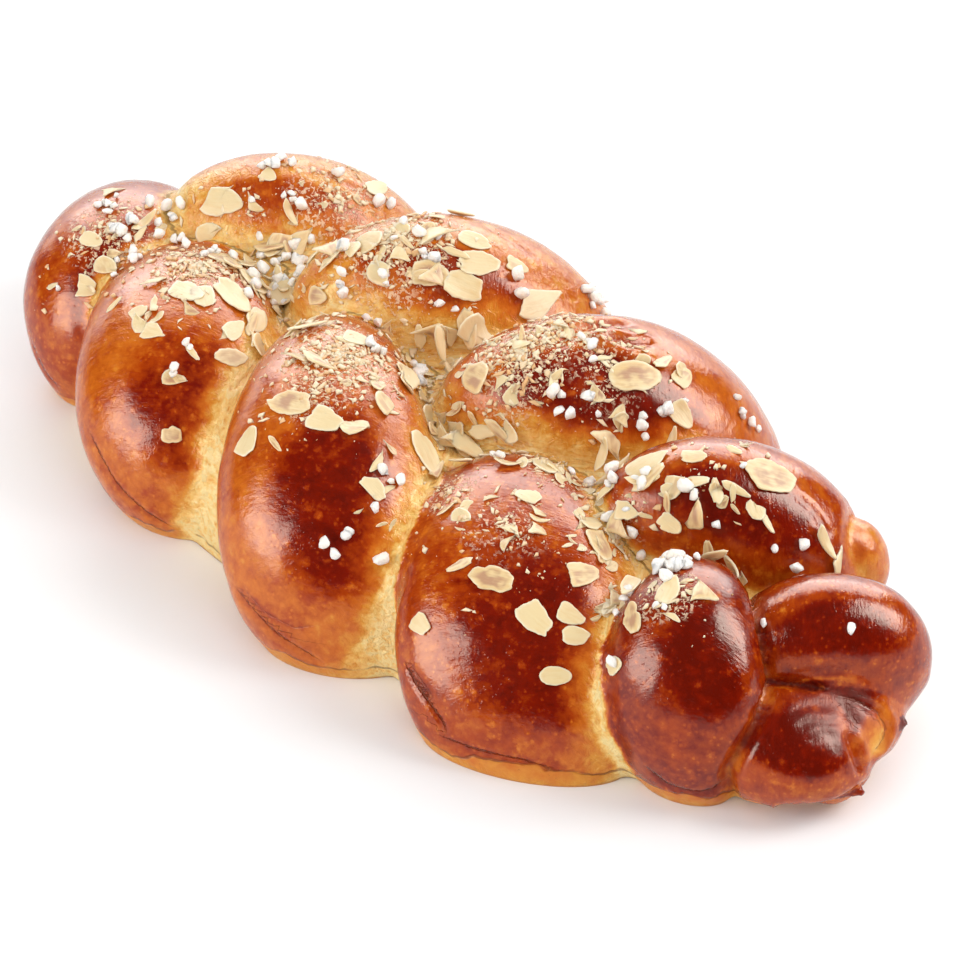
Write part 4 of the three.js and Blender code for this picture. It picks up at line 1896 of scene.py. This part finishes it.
@dataclass(frozen=True)
class Studio:
    """A pale floor, soft lamps and the camera."""

    aim: tuple = (0.0274, -0.0102, 0.035)
    azimuth: float = 48.0
    elevation: float = 38.0
    distance: float = 0.95
    lens: float = 122.9
    slide: float = 0.0035
    floor_size: float = 12.0
    floor_colour: tuple = (0.88, 0.88, 0.88)
    sky: float = 0.22
    lamps: tuple = (
        Softbox("key_left", -112, 22, 0.95, 0.70, 0.55, 4.3, Shine.LIGHT),
        Softbox("window_left", -108, 16, 0.95, 0.60, 0.52, 8.6, Shine.GLOSS),
        Softbox("key_right", 43, 41, 0.95, 0.38, 0.55, 5.0, Shine.LIGHT),
        Softbox("window_right", 44, 39, 0.95, 0.54, 0.74, 15.5, Shine.GLOSS),
        Softbox("rear", 130, 28, 1.15, 1.9, 0.8, 4.7, Shine.LIGHT),
        Softbox("rear_sheen", 135, 36, 1.2, 2.0, 0.8, 42.0, Shine.GLOSS),
        Softbox("rear_low", 143, 11, 1.5, 3.2, 0.55, 16.0, Shine.GLOSS),
        Softbox("top_fill", -42, 74, 1.1, 1.3, 1.3, 5.9, Shine.LIGHT),
        Softbox("front_fill", -42, 24, 1.1, 1.6, 0.6, 3.0, Shine.LIGHT),
    )

    def build(self) -> None:
        """Makes the floor, the lamps, the world and the camera."""
        half = self.floor_size / 2
        corners = np.array([(-half, -half, 0), (half, -half, 0), (half, half, 0), (-half, half, 0)])
        floor = add_object("floor", mesh_of("floor", corners, [(0, 1, 2, 3)]))
        paint = Paint("floor")
        floor.data.materials.append(paint.finish({
            "Base Color": self.floor_colour, "Roughness": 0.7}))
        aim = Vector(self.aim)
        for lamp in self.lamps:
            lamp.build(aim)
        world = bpy.data.worlds.new("studio")
        world.use_nodes = True
        ground = world.node_tree.nodes["Background"]
        ground.inputs["Color"].default_value = (1, 1, 1, 1)
        ground.inputs["Strength"].default_value = self.sky
        world.cycles_visibility.glossy = False
        bpy.context.scene.world = world
        bpy.context.scene.view_settings.view_transform = "Standard"
        self.camera(aim)
        log.info("studio: floor, %d lamps and the camera", len(self.lamps))

    def camera(self, aim: Vector) -> None:
        """Makes the camera, slid sideways and up square to its view for the framing.

        Args:
            aim: the point on the loaf that it faces.
        """
        data = bpy.data.cameras.new("camera")
        data.lens = self.lens
        data.sensor_width = 36.0
        camera = bpy.data.objects.new("camera", data)
        bpy.context.scene.collection.objects.link(camera)
        turn, rise = math.radians(self.azimuth), math.radians(self.elevation)
        back = Vector((math.sin(turn) * math.cos(rise), -math.cos(turn) * math.cos(rise),
                       math.sin(rise)))
        view = back.to_track_quat("Z", "Y")
        slid = view @ Vector((-self.slide, self.slide, 0))
        camera.location = aim + slid + back * self.distance
        camera.rotation_mode = "QUATERNION"
        camera.rotation_quaternion = view
        bpy.context.scene.camera = camera


def report(piece: bpy.types.Object) -> None:
    """Logs a finished piece."""
    log.info("%s: %d points, %d faces", piece.name, len(piece.data.vertices),
             len(piece.data.polygons))


def main() -> None:
    """Builds the loaf, its toppings and the studio."""
    logging.basicConfig(level=logging.INFO, format="%(message)s")
    loaf = Loaf()
    report(loaf.build())
    report(AlmondFlakes(loaf).build())
    sprinkles = (
        FlakeBits("almond_bits", Slot.ALMOND, AlmondFinish().material(), BITS,
                  (3.0, 9.0), 1.8, 20.0, 0.45, 21, single=SLICES),
        SugarNibs("sugar_nibs", Slot.SUGAR, SugarFinish().material(), NIBS,
                  (2.4, 4.7), 1.1, 50.0, 0.14, 31),
        FineCrumbs("fine_crumbs", Slot.CRUMBS, CrumbFinish().material(), CRUMBS,
                   (0.3, 2.3), 4.4, 14.0, 0.3, 41, gather=True),
    )
    for sprinkle in sprinkles:
        report(sprinkle.build(loaf))
    Studio().build()


if __name__ == "__main__":
    main()
